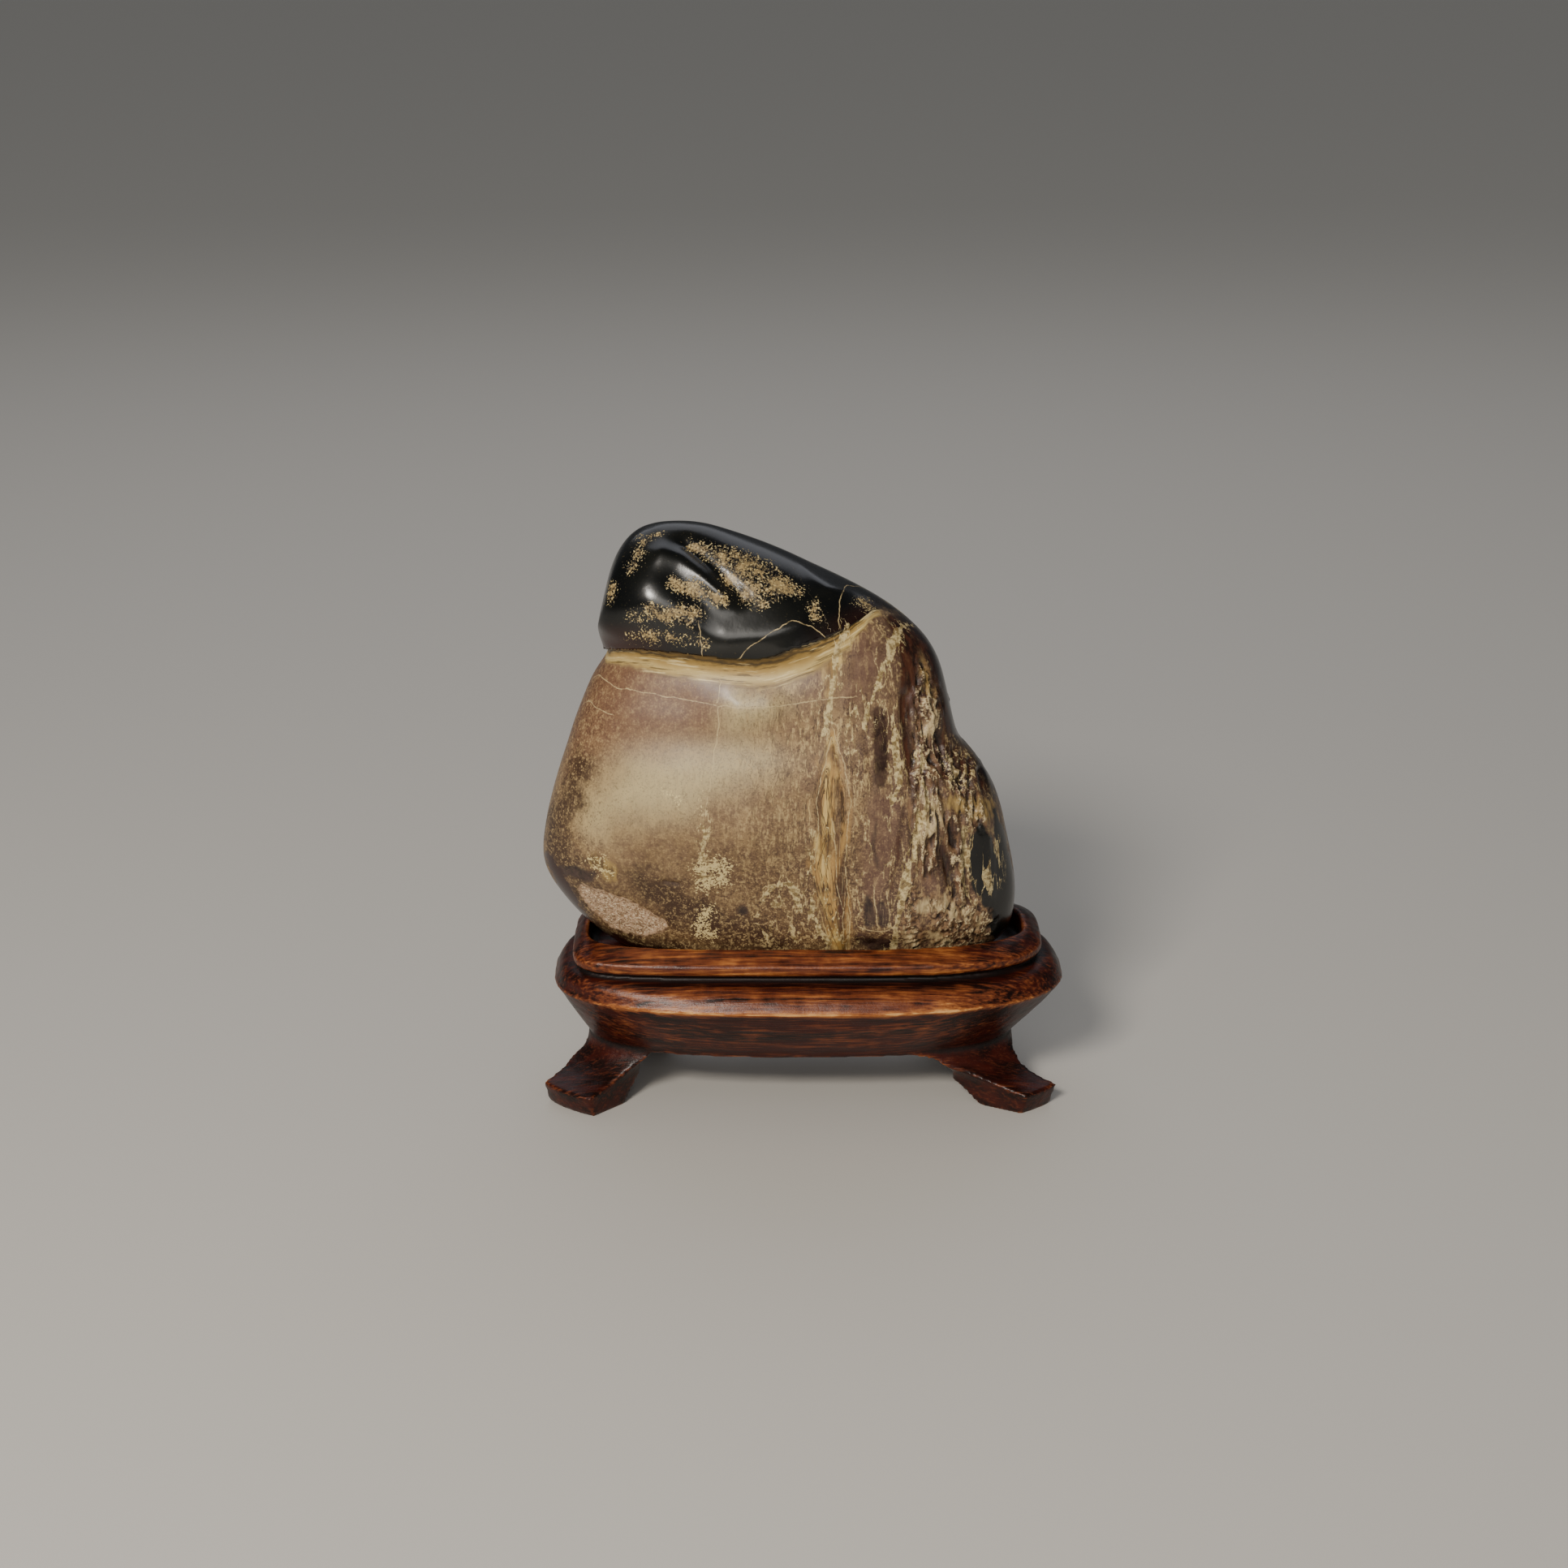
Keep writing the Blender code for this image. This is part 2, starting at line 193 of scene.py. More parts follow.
# Other worn forms: strokes of across, up and reach, and how far each stands out.
FORMS = (
    ("knuckle", 1.6, (
        (-29.0, 112.4, 2.6), (-25.5, 111.2, 2.8), (-20.5, 107.6, 2.6), (-16.5, 104.0, 2.0),
    )),
    ("crease", -1.1, (
        (-24.5, 114.8, 1.6), (-19.8, 110.8, 1.9), (-15.7, 106.6, 1.9), (-12.6, 103.6, 1.7),
    )),
    ("chin", 0.6, ((-16.0, 95.0, 2.8), (-8.0, 95.6, 3.0), (-1.0, 98.0, 2.4))),
    ("belly", 1.9, ((-42.0, 52.0, 9.5), (-26.0, 55.0, 10.0), (-12.0, 55.0, 9.0))),
    ("waist", -0.6, ((-44.0, 75.0, 5.0), (-22.0, 74.0, 5.0), (2.0, 73.0, 5.0))),
    ("shoulder", -0.5, ((-40.0, 84.0, 4.0), (-26.0, 82.5, 4.0))),
    ("brow", 1.2, ((-13.0, 80.5, 3.6), (-8.0, 81.0, 3.6))),
    ("lens", 0.7, ((38.0, 54.0, 2.0), (38.7, 48.5, 2.6), (39.6, 42.5, 2.0))),
    ("lens_edge", -0.7, ((34.8, 55.0, 0.9), (34.6, 48.0, 0.9), (36.4, 41.0, 0.9))),
    ("flute_1", -0.9, ((32.2, 72.5, 0.7), (32.1, 64.0, 0.7))),
    ("flute_2", -0.9, ((34.0, 71.8, 0.7), (33.9, 64.0, 0.7))),
    ("flute_3", -0.9, ((35.8, 70.6, 0.7), (35.6, 64.6, 0.7))),
    ("flute_4", -0.8, ((38.0, 68.4, 0.8), (38.6, 64.6, 0.8))),
    ("cleft_1", -1.0, ((28.2, 76.0, 0.8), (29.6, 72.5, 1.1), (30.1, 67.0, 0.9))),
    ("cleft_2", -0.9, ((28.6, 53.0, 0.7), (30.4, 49.0, 1.1), (31.6, 43.7, 0.9))),
    ("cleft_3", -0.7, ((21.0, 84.0, 0.7), (21.2, 78.0, 0.9), (22.2, 70.0, 0.9), (22.6, 65.0, 0.6))),
    ("spar_1", 0.7, ((25.8, 82.6, 0.9), (26.9, 79.6, 1.3), (26.7, 76.2, 1.0))),
    ("spar_2", 0.8, ((24.4, 63.0, 0.9), (27.0, 60.4, 1.7), (27.4, 57.0, 1.9), (25.2, 54.4, 1.2))),
    ("slit", -0.5, ((-29.6, 44.8, 0.4), (-26.4, 44.2, 0.4))),
    ("flame_line", -0.3, (
        (6.4, 75.5, 0.3), (7.9, 66.2, 0.4), (9.3, 52.5, 0.4), (10.0, 42.1, 0.4), (9.8, 29.0, 0.4),
    )),
)
for form, height, stroke in FORMS:
    reach = max(point[2] for point in stroke)
    inside = drawn([stroke])
    relief += height * np.exp(-np.square(np.maximum(reach - inside, 0.0) / reach))

# Broken ground: the granular facet low on the left, the fractured band, the crystals low on
# the right. Crags are ridges of hard calcite between softer rock that has worn away.
BROKEN = {
    "facet": (
        ((-46.8, 42.6, 1.4), (-43.6, 40.0, 3.0), (-39.6, 37.4, 3.9), (-34.8, 35.4, 3.3),
         (-30.8, 34.8, 1.6)),
    ),
    "band": (
        ((24.0, 93.0, 0.4), (25.8, 85.0, 3.2), (26.2, 71.0, 3.8), (25.8, 57.5, 3.6), (26.4, 48.0, 3.0)),
        ((30.0, 72.0, 1.5), (34.0, 64.0, 3.0), (36.5, 58.0, 3.0)),
        ((31.0, 57.0, 2.5), (33.5, 46.0, 2.0), (34.0, 40.0, 2.0)),
    ),
    "crystals": (
        ((22.5, 44.0, 1.5), (23.5, 34.0, 2.0), (24.5, 29.0, 2.5)),
        ((27.0, 40.0, 1.5), (32.0, 36.0, 4.5), (39.0, 35.0, 3.5)),
        ((31.0, 29.5, 3.0), (38.0, 31.0, 2.5)),
    ),
}
broken = {name: drawn(strokes) for name, strokes in BROKEN.items()}
broken["facet"] -= 8.0 * to_back
upright = (1.0, 1.0, 4.5)
streaks = lumps(skin, 1.7, seed=3, octaves=3, stretch=upright)
grit = lumps(skin, 0.9, seed=4)
crags = {
    "facet": 0.55 * grit + 0.45 * lumps(skin, 2.2, seed=5),
    "band": 1.0 - 2.2 * np.abs(streaks),
    "crystals": 1.0 - 2.0 * np.abs(lumps(skin, 1.7, seed=6, octaves=3, stretch=(1.0, 1.0, 1.6))),
}
crag = np.zeros(len(skin))
for name, depth in (("facet", 0.2), ("band", 1.0), ("crystals", 0.7)):
    rough_share = step(-0.8, 1.2, broken[name])
    relief += depth * rough_share * (crags[name] - 0.5)
    crag += rough_share * (crags[name] - crag)
relief -= 0.3 * step(-0.6, 0.9, broken["facet"])
fluted = step(4.0, 14.0, across) * step(42.5, 39.5, across) * step(0.0, -6.0, above)
relief += 0.26 * lumps(skin, 2.6, seed=7, octaves=3, stretch=(1.0, 1.0, 6.0)) * fluted

# What sits down in the seat stays as plain as the seat is.
SEATED_BELOW, SHOWN_ABOVE = 34.6, 37.6
relief *= step(SEATED_BELOW, SHOWN_ABOVE, skin[:, 2])
skin += facing * relief[:, None]
stone.data.vertices.foreach_set("co", (skin * MM).ravel())
stone.data.update()

# ---- The stone: its markings ------------------------------------------------------------
# Minerals that grew in the rock, drawn as strokes of across, up and half width. Each point
# of the skin keeps how far inside each mineral it is, and the finish breaks up the edges, so
# that a half width below 0 leaves threads and specks.

MINERALS = {
    "gold": (
        ((-23.4, 114.8, 0.8), (-17.6, 112.4, 2.2), (-11.0, 109.2, 3.6), (-5.0, 106.0, 2.4),
         (-1.0, 104.8, 0.8)),
        ((-15.6, 108.8, 1.4), (-11.6, 104.8, 2.2), (-9.4, 102.4, 1.2)),
        ((-27.0, 106.6, 0.8), (-21.5, 104.6, 1.5), (-17.6, 103.0, 1.3)),
        ((-35.6, 99.6, 0.8), (-30.6, 100.4, 1.7), (-22.8, 99.6, 1.6)),
        ((-36.0, 95.8, 0.5), (-29.5, 95.6, 0.8), (-20.8, 94.4, 0.6)),
        ((-33.4, 115.4, 0.5),), ((-34.7, 117.4, 0.4),), ((-32.1, 116.8, 0.4),), ((-30.2, 117.3, 0.3),),
        ((-34.2, 112.6, 0.7), (-36.0, 109.8, 0.6)),
        ((-39.6, 106.0, 0.6), (-40.3, 103.4, 0.6)),
        ((2.1, 102.2, 0.7), (2.5, 100.0, 1.0)),
        ((12.0, 103.4, 1.1), (14.0, 101.6, 0.9)),
    ),
    "sallow": (
        ((3.0, 94.6, 0.8), (7.6, 94.4, 1.9), (12.4, 99.2, 1.2), (15.0, 101.6, 0.5)),
        ((6.6, 93.0, 1.6), (5.8, 88.6, 1.2), (5.4, 84.0, 0.5)),
        ((-9.0, 86.2, 0.8), (-5.0, 87.0, 1.2), (2.0, 90.4, 1.4)),
        ((5.9, 74.0, 0.4), (5.6, 66.2, 0.7), (4.9, 60.0, 0.8), (5.4, 56.0, 0.8), (4.0, 53.0, 1.2)),
        ((4.0, 53.0, 1.2), (3.8, 48.5, 0.7), (4.8, 42.0, 0.7), (6.0, 35.0, 1.0), (8.0, 30.0, 1.1)),
    ),
    "cream": (
        ((9.2, 97.6, 0.6), (7.3, 94.0, 0.4), (6.3, 90.0, 0.5), (5.8, 84.7, 0.7), (4.2, 75.5, 0.3)),
        ((23.4, 101.0, 0.1), (20.8, 98.6, 0.3), (19.3, 95.8, 0.8), (17.4, 91.5, 0.8),
         (15.6, 87.0, 0.5)),
        ((17.6, 95.6, 0.2), (17.6, 92.0, 0.5), (16.6, 89.0, 0.3)),
        ((15.6, 87.0, 0.5), (13.4, 79.7, 0.5), (11.4, 73.0, -0.1), (11.8, 66.0, -0.8)),
        ((11.7, 84.5, 0.0), (10.6, 78.0, -0.2), (9.4, 71.5, -0.8)),
        ((18.2, 80.0, 0.1), (18.6, 76.5, 0.4), (19.6, 70.5, 0.7), (20.0, 64.6, 0.6), (18.4, 61.0, 0.3)),
        ((24.4, 72.2, 0.4), (25.4, 66.2, 0.5), (26.2, 61.5, 0.6), (24.0, 55.0, 0.8), (22.6, 48.0, 0.6)),
        ((22.6, 48.0, 0.6), (21.0, 41.0, 0.6), (19.8, 34.0, 0.5), (19.6, 29.0, 0.8)),
        ((2.6, 60.0, -0.9), (1.6, 52.5, -0.3), (1.2, 42.1, -0.3), (2.6, 35.5, 0.2), (5.4, 31.0, 0.5)),
        ((4.9, 62.0, -0.9), (5.2, 54.0, -0.5), (4.6, 46.0, -0.4), (5.8, 38.0, 0.0), (8.0, 32.0, 0.3)),
        ((11.0, 52.0, -1.2), (11.2, 44.0, -0.9), (12.4, 37.0, -0.7), (12.3, 29.0, -0.5)),
        ((13.0, 60.0, -0.9), (13.6, 52.0, -0.5), (12.6, 46.0, -0.4)),
        ((17.6, 58.0, -0.8), (18.2, 51.0, -0.3), (17.4, 44.0, -0.6)),
        ((-20.3, 59.4, -0.2), (-20.8, 54.0, 0.0), (-21.3, 49.0, 0.1), (-21.0, 44.0, 0.2)),
        ((-8.6, 41.4, 0.1), (-7.2, 42.6, 0.3), (-4.8, 44.2, 0.4), (-3.1, 44.0, 0.4),
         (-1.7, 42.1, 0.3), (-0.8, 39.4, 0.2)),
        ((-0.8, 39.4, 0.2), (1.8, 36.8, 0.4), (3.9, 33.2, 0.5)),
        ((-4.8, 43.5, 0.2), (-5.5, 40.3, 0.0), (-5.6, 36.0, 0.1)),
        ((-8.8, 36.4, 0.3), (-8.0, 32.2, 0.2)),
        ((-4.3, 35.8, 0.2), (-2.5, 34.0, 0.3), (-2.0, 31.0, 0.2)),
        ((34.2, 56.0, 0.3), (34.9, 50.0, 0.6), (34.4, 44.5, 0.5), (36.0, 40.0, 0.3)),
        ((38.7, 48.8, 0.2), (39.1, 45.7, 0.9), (39.6, 42.8, 0.5)),
        ((41.6, 53.0, -0.2), (42.1, 48.0, 0.0), (42.2, 44.0, -0.2)),
        ((31.3, 72.0, 0.1), (31.2, 64.5, 0.2)), ((33.1, 71.6, 0.1), (33.0, 64.5, 0.2)),
        ((34.9, 71.2, 0.1), (34.7, 64.5, 0.2)), ((36.6, 69.8, 0.0), (36.5, 65.0, 0.1)),
    ),
    "spar": (
        ((25.6, 83.4, 0.4), (26.8, 81.2, 1.0), (26.7, 76.2, 1.0), (27.6, 78.4, 0.8)),
        ((24.0, 63.4, 0.4), (26.8, 61.0, 1.4), (27.6, 57.4, 1.8), (25.4, 54.4, 1.0), (23.4, 52.4, 0.6)),
        ((24.8, 38.8, 0.8), (30.4, 39.6, 1.2), (34.0, 37.0, 1.0)),
        ((22.9, 33.4, 0.9), (23.4, 30.4, 0.9)), ((27.6, 32.6, 0.7), (31.0, 31.4, 0.8)),
        ((37.2, 35.4, 0.9),),
    ),
    "clusters": (
        ((-21.8, 48.0, 1.0), (-17.2, 48.2, 1.6)), ((-21.0, 44.2, 1.2), (-17.2, 45.6, 1.2)),
        ((-20.2, 38.6, 0.6), (-21.4, 36.0, 1.0), (-22.6, 33.6, 0.8), (-19.8, 32.8, 0.6)),
        ((-44.8, 49.8, -0.2), (-41.8, 50.0, -0.2)), ((-43.6, 47.8, 0.0), (-40.8, 47.0, 0.2)),
        ((-29.6, 64.6, -0.7), (-25.8, 61.6, -0.4)), ((-21.0, 67.6, -1.4), (-21.4, 60.0, -0.9)),
    ),
    "ochre_flame": (
        ((5.9, 75.5, 0.2), (5.0, 69.0, 1.7), (4.2, 61.0, 2.4), (5.2, 54.5, 1.9), (4.0, 48.0, 2.3)),
        ((4.0, 48.0, 2.3), (5.0, 42.0, 2.1), (6.4, 35.5, 1.8), (8.3, 29.0, 1.3)),
        ((6.8, 71.0, 0.3), (8.2, 62.0, 1.0), (8.0, 54.0, 0.7), (8.2, 44.0, 0.9), (9.0, 31.0, 0.7)),
    ),
    "ochre": (
        ((-43.9, 49.8, 1.3), (-40.4, 46.8, 1.4)),
        ((31.6, 61.2, 1.5), (36.0, 60.2, 2.2), (39.6, 59.6, 2.0)),
        ((24.0, 93.6, 0.2), (25.0, 89.0, 1.2), (26.8, 84.4, 1.2)),
    ),
    "maroon": (
        ((18.6, 99.6, 1.4), (22.2, 94.8, 2.8), (22.2, 88.0, 1.9), (21.2, 78.0, 1.2),
         (22.2, 70.0, 0.9), (22.6, 65.0, 0.5)),
        ((23.0, 99.6, 1.2), (27.8, 93.0, 2.4), (30.4, 85.0, 2.2), (31.4, 77.0, 1.6)),
        ((28.4, 76.0, 0.8), (29.6, 72.5, 1.4), (30.1, 67.0, 1.0)),
        ((32.2, 72.0, 0.6), (32.1, 64.5, 0.5)), ((34.0, 71.6, 0.6), (33.9, 64.5, 0.5)),
        ((35.8, 70.6, 0.7), (35.6, 65.0, 0.5)), ((37.8, 68.6, 0.9), (38.6, 64.6, 0.7)),
        ((28.6, 53.0, 0.6), (30.4, 49.0, 1.3), (31.6, 43.7, 1.0)),
        ((20.8, 60.0, 0.3), (20.0, 50.0, 0.4), (18.4, 43.0, 0.2)),
        ((6.9, 66.0, -0.1), (6.6, 60.0, 0.0), (7.4, 50.0, 0.1), (7.8, 42.0, 0.4), (8.2, 36.0, 0.5),
         (8.9, 29.0, 0.5)),
    ),
    "smoky": (
        ((15.8, 79.8, 1.4), (16.2, 72.0, 1.6), (16.0, 65.6, 1.2)),
        ((13.6, 41.0, 0.6), (13.9, 39.5, 1.1), (14.2, 35.6, 1.3)),
        ((16.6, 39.6, 0.8), (17.2, 35.8, 1.3)),
        ((15.4, 58.0, 0.0), (14.6, 52.0, 0.4), (16.0, 47.0, 0.2)),
        ((12.2, 32.0, 1.1), (15.4, 30.6, 1.6), (19.4, 30.6, 1.0)),
        ((-12.9, 38.2, 1.2),), ((-29.4, 44.7, 0.25), (-26.6, 44.3, 0.25)),
        ((-51.6, 46.8, 1.0), (-48.0, 47.0, 1.4), (-45.4, 45.8, 1.2), (-44.0, 46.8, 0.6)),
    ),
    "rose": (
        ((12.0, 95.5, 2.2), (13.4, 89.8, 3.0), (10.4, 84.5, 2.5)),
        ((1.0, 89.0, 1.2), (2.6, 84.0, 1.6)), ((-10.5, 84.6, 1.0), (-7.0, 84.2, 1.0)),
        ((-20.6, 84.4, 1.6), (-17.2, 85.2, 1.8)),
        ((17.0, 60.0, 3.5), (16.0, 52.0, 3.5), (14.5, 43.0, 2.5)),
        ((23.6, 49.0, 1.6), (26.4, 45.4, 2.6), (28.0, 43.0, 1.6)),
    ),
    "jet": (
        ((-55.0, 50.0, 0.8), (-52.0, 45.0, 1.6), (-50.4, 38.6, 2.2), (-45.8, 31.6, 2.2),
         (-37.0, 28.2, 2.2), (-28.0, 27.4, 1.9)),
        ((41.0, 59.6, 0.4), (42.4, 54.0, 1.4), (43.8, 48.0, 2.2), (44.8, 42.0, 2.8),
         (43.8, 37.0, 3.0), (42.0, 33.0, 1.6)),
        ((37.6, 56.4, 0.9), (38.0, 52.6, 2.5), (38.6, 48.5, 3.4), (39.4, 44.6, 3.3), (40.6, 40.4, 2.3)),
    ),
}
# Hairline cracks that calcite filled, the thin veins that edge the flame, and those that part
# the dark windows low on the right.
HAIRLINES = (
    ((-46.0, 89.4), (-43.6, 88.4), (-39.3, 85.4), (-32.9, 84.3), (-28.1, 83.4), (-23.2, 82.4),
     (-16.7, 81.5), (-11.9, 81.0), (-7.0, 81.2), (1.3, 82.4), (10.9, 83.4)),
    ((-46.9, 83.2), (-45.2, 82.6), (-43.8, 81.4), (-40.2, 79.6)),
    ((-17.4, 86.6), (-17.9, 76.5), (-18.6, 71.4), (-20.4, 59.4)),
    ((-14.4, 90.9), (-9.0, 95.0), (-4.6, 97.6), (-2.6, 98.8), (1.6, 97.6), (4.3, 95.4)),
    ((10.4, 111.0), (8.7, 107.1), (7.7, 103.5), (7.5, 101.5), (7.2, 97.4)),
    ((-21.5, 98.5), (-21.3, 95.4), (-20.8, 92.0)),
    ((5.9, 77.0), (8.4, 70.0), (9.9, 62.0), (9.2, 54.3), (8.7, 48.2), (9.6, 42.1), (9.9, 35.0),
     (9.4, 29.0)),
    ((5.8, 75.0), (4.4, 69.0), (2.6, 62.0), (3.2, 55.0), (2.2, 48.5)),
    ((6.0, 58.0), (6.9, 50.0), (7.0, 44.0), (8.4, 38.0), (8.6, 31.0)),
    ((14.9, 43.5), (15.3, 39.0), (15.9, 34.6)), ((17.8, 42.0), (18.4, 36.0), (18.8, 34.4)),
    ((12.0, 34.6), (14.5, 33.6), (17.5, 33.7), (19.8, 35.0)),
)


def hairline(lines):
    """Signed distance to the nearest crack, and how far past the end of it a point lies."""
    nearest, side, past = np.full(len(across), np.inf), np.ones(len(across)), np.zeros(len(across))
    for line in lines:
        for k, ((x0, z0), (x1, z1)) in enumerate(zip(line, line[1:])):
            dx, dz = x1 - x0, z1 - z0
            length = math.hypot(dx, dz)
            along = ((across - x0) * dx + (up - z0) * dz) / length
            offset = ((across - x0) * dz - (up - z0) * dx) / length
            over = np.maximum(along - length, -along)
            away = np.hypot(offset, np.maximum(over, 0.0))
            closer = away < nearest
            open_end = (along < 0.0) & (k == 0) | (along > length) & (k == len(line) - 2)
            nearest = np.where(closer, away, nearest)
            side = np.where(closer, np.where(offset < 0.0, -1.0, 1.0), side)
            past = np.where(closer, np.where(open_end, over, 0.0), past)
    return nearest * side, past


def keep(mesh, values):
    """Stores named numbers on the points of a mesh, where its finish can read them."""
    for name, numbers in values.items():
        mesh.attributes.new(name, "FLOAT", "POINT").data.foreach_set("value", numbers)


crack, crack_end = hairline(HAIRLINES)
# At the back every mineral but the jet thins out.
thinner = to_back * (1.6 + 2.4 * lumps(skin, 14.0, seed=10))
keep(stone.data, {
    name: drawn(strokes) - (name != "jet") * thinner for name, strokes in MINERALS.items()
})
keep(stone.data, {"broken_" + name: inside for name, inside in broken.items()})
keep(stone.data, {
    "crag": crag, "crack": crack, "crack_end": crack_end, "across": across, "up": up,
    "above_edge": above,
    "seam": np.interp(across, (-45.0, -30.0, -12.0, 0.0, 9.0, 15.0), (2.4, 4.8, 6.0, 6.6, 4.4, 1.4)),
})

# Shadings of the body, each from 0 to 1: stains that soaked in, ruddy at the upper left and mauve
# on the right; browner low down; paler where the body swells, partly paler stone and partly a
# painted highlight; and umber in drifts. Sandy and wispy say how much of the sand grains and of
# the hanging wisps shows.
# The strokes where the body's satin highlight is painted in, as paler stone.
GLOW = (
    ((-42.0, 60.0, 1.0), (-35.0, 64.0, 4.0), (-25.0, 66.0, 4.0), (-16.0, 68.0, 1.5), (-8.0, 70.0, 0.5)),
    ((-13.0, 82.0, 1.5), (-8.0, 83.0, 1.0)),
)
DRIFTS = (
    ((-49.6, 61.0, 2.2), (-46.6, 68.6, 2.4)),
    ((-53.0, 58.0, 2.6), (-51.0, 50.0, 3.2), (-47.0, 46.0, 1.6)),
    ((-51.0, 42.0, 1.6), (-46.0, 33.0, 2.0), (-36.0, 29.4, 1.8), (-24.0, 28.6, 1.0)),
    ((-36.0, 47.0, 1.0), (-30.0, 42.0, 2.6), (-24.0, 37.0, 3.0), (-16.0, 34.0, 2.4), (-6.0, 31.0, 2.0)),
    ((19.5, 101.5, 0.6), (24.6, 95.0, 3.2), (29.0, 87.0, 3.4), (31.0, 80.0, 3.0), (31.6, 74.0, 2.6)),
    ((34.0, 70.0, 2.6), (38.5, 64.0, 2.0)), ((30.4, 50.0, 1.6), (33.0, 44.0, 1.6)),
)
drift = lumps(skin, 12.0, seed=8, octaves=3)
keep(stone.data, {
    "ruddy": 0.75 * step(2.0, -30.0, across + 7.0 * drift) * step(62.0, 80.0, up + 5.0 * drift),
    "brown": 0.62 * step(62.0, 38.0, up + 9.0 * drift),
    "mauve": 0.8 * step(6.0, 22.0, across + 8.0 * drift),
    # Pale: paler stone, and a painted highlight on the swells of the body.
    "pale": 0.85 * step(-9.0, 3.5, drawn(GLOW) + 3.0 * drift),
    "umber": 0.85 * step(-3.0, 1.5, drawn(DRIFTS) + 2.5 * lumps(skin, 4.0, seed=9, octaves=3)),
    "sandy": 0.28 + np.maximum(
        0.45 * step(-84.0, -36.0, 0.6 * across - up), 0.3 * step(-36.0, -50.0, across)
    ),
    "wispy": 0.2 + 0.75 * step(-26.0, 6.0, across),
})

# ---- The stone: its finish --------------------------------------------------------------
# Silicified limestone rubbed down through finer grits and waxed: the black cap takes a wet
# gloss, the taupe body a satin one, and the broken ground stays dry and sparkles.


def linear(colour):
    """A hex colour as it is seen, turned into the linear one that a shader works in."""
    shares = [int(colour[i : i + 2], 16) / 255.0 for i in (1, 3, 5)]
    return (*(c / 12.92 if c <= 0.04045 else ((c + 0.055) / 1.055) ** 2.4 for c in shares), 1.0)


def put(tree, kind, inputs=None, out=None, **settings):
    """Adds a node with its settings, sets or links its inputs and gives the output asked for."""
    made = tree.nodes.new(kind)
    for name, value in settings.items():
        setattr(made, name, value)
    for socket, value in (inputs or {}).items():
        if isinstance(value, bpy.types.NodeSocket):
            tree.links.new(value, made.inputs[socket])
        elif isinstance(value, str):
            made.inputs[socket].default_value = linear(value)
        else:
            made.inputs[socket].default_value = value
    if out is not None:
        return made.outputs[out]
    return next((socket for socket in made.outputs if socket.enabled), made)


def new_finish(name):
    """An empty material, its node tree and its shader."""
    made = bpy.data.materials.new(name)
    made.use_nodes = True
    return made, made.node_tree, made.node_tree.nodes["Principled BSDF"]


MATH, RANGE, BLEND, NOISE = (
    "ShaderNodeMath", "ShaderNodeMapRange", "ShaderNodeMix", "ShaderNodeTexNoise",
)
TIMES, PLUS = {"operation": "MULTIPLY"}, {"operation": "MULTIPLY_ADD"}
LARGER, UNSIGNED = {"operation": "MAXIMUM"}, {"operation": "ABSOLUTE"}
# A range takes a value, the two ends that it runs between and the two that they are turned into.
SOFT = {"interpolation_type": "SMOOTHSTEP"}
COLOUR, NUMBER = {"data_type": "RGBA"}, {"data_type": "FLOAT"}
FIRST, SECOND = 6, 7  # a colour blend's own two colour inputs, where a number's are 2 and 3

limestone, tree, shader = new_finish("waxed_silicified_limestone")
kept = {
    name: put(tree, "ShaderNodeAttribute", out="Fac", attribute_name=name)
    for name in stone.data.attributes.keys()
    if name not in ("position", "sharp_face") and not name.startswith(".")
}
place = put(tree, "ShaderNodeTexCoord", out="Object")
in_mm = put(tree, "ShaderNodeVectorMath", {0: place, "Scale": 1.0 / MM}, operation="SCALE")
upright_mm = put(tree, "ShaderNodeMapping", {"Vector": in_mm, "Scale": (1.0, 1.0, 0.22)})
hanging_mm = put(tree, "ShaderNodeMapping", {"Vector": in_mm, "Scale": (1.0, 1.0, 0.09)})
layer_mm = put(tree, MATH, {0: kept["across"], 1: 0.08}, **TIMES)
layer_mm = put(tree, "ShaderNodeCombineXYZ", {0: layer_mm, 1: kept["above_edge"]})
ring_mm = put(tree, MATH, {0: kept["up"], 1: 0.07}, **TIMES)
ring_mm = put(tree, "ShaderNodeCombineXYZ", {0: ring_mm, 1: kept["ochre_flame"]})

# Sizes in millimetres from real ones: clouds in the black, mottling, sand grains of 0.5 mm and
# specks of 0.2 mm, both drawn twice as coarse as they are so that they show. Streaks, fibres and
# threads run upwards, layers along the edge of the cap, and rings along the flame.
PATTERNS = {
    "cloud": (in_mm, 12.0, 3.0, 0.5), "mottle": (in_mm, 3.0, 5.0, 0.5), "grain": (in_mm, 1.0, 3.0, 0.5),
    "speck": (in_mm, 0.42, 2.0, 0.6), "streak": (upright_mm, 1.3, 4.0, 0.5),
    "fibre": (upright_mm, 2.2, 4.0, 0.55), "thread": (hanging_mm, 1.1, 3.0, 0.5),
    "layer": (layer_mm, 0.8, 4.0, 0.65), "ring": (ring_mm, 1.5, 4.0, 0.6),
}
pattern = {
    name: put(tree, NOISE, {"Vector": where, "Scale": 1.0 / size, "Detail": detail, "Roughness": rough})
    for name, (where, size, detail, rough) in PATTERNS.items()
}
ridge = {}
for name in ("fibre", "thread", "mottle", "ring"):
    middle = put(tree, MATH, {0: pattern[name], 1: 0.5}, operation="SUBTRACT")
    ridge[name] = put(tree, MATH, {0: middle}, **UNSIGNED)
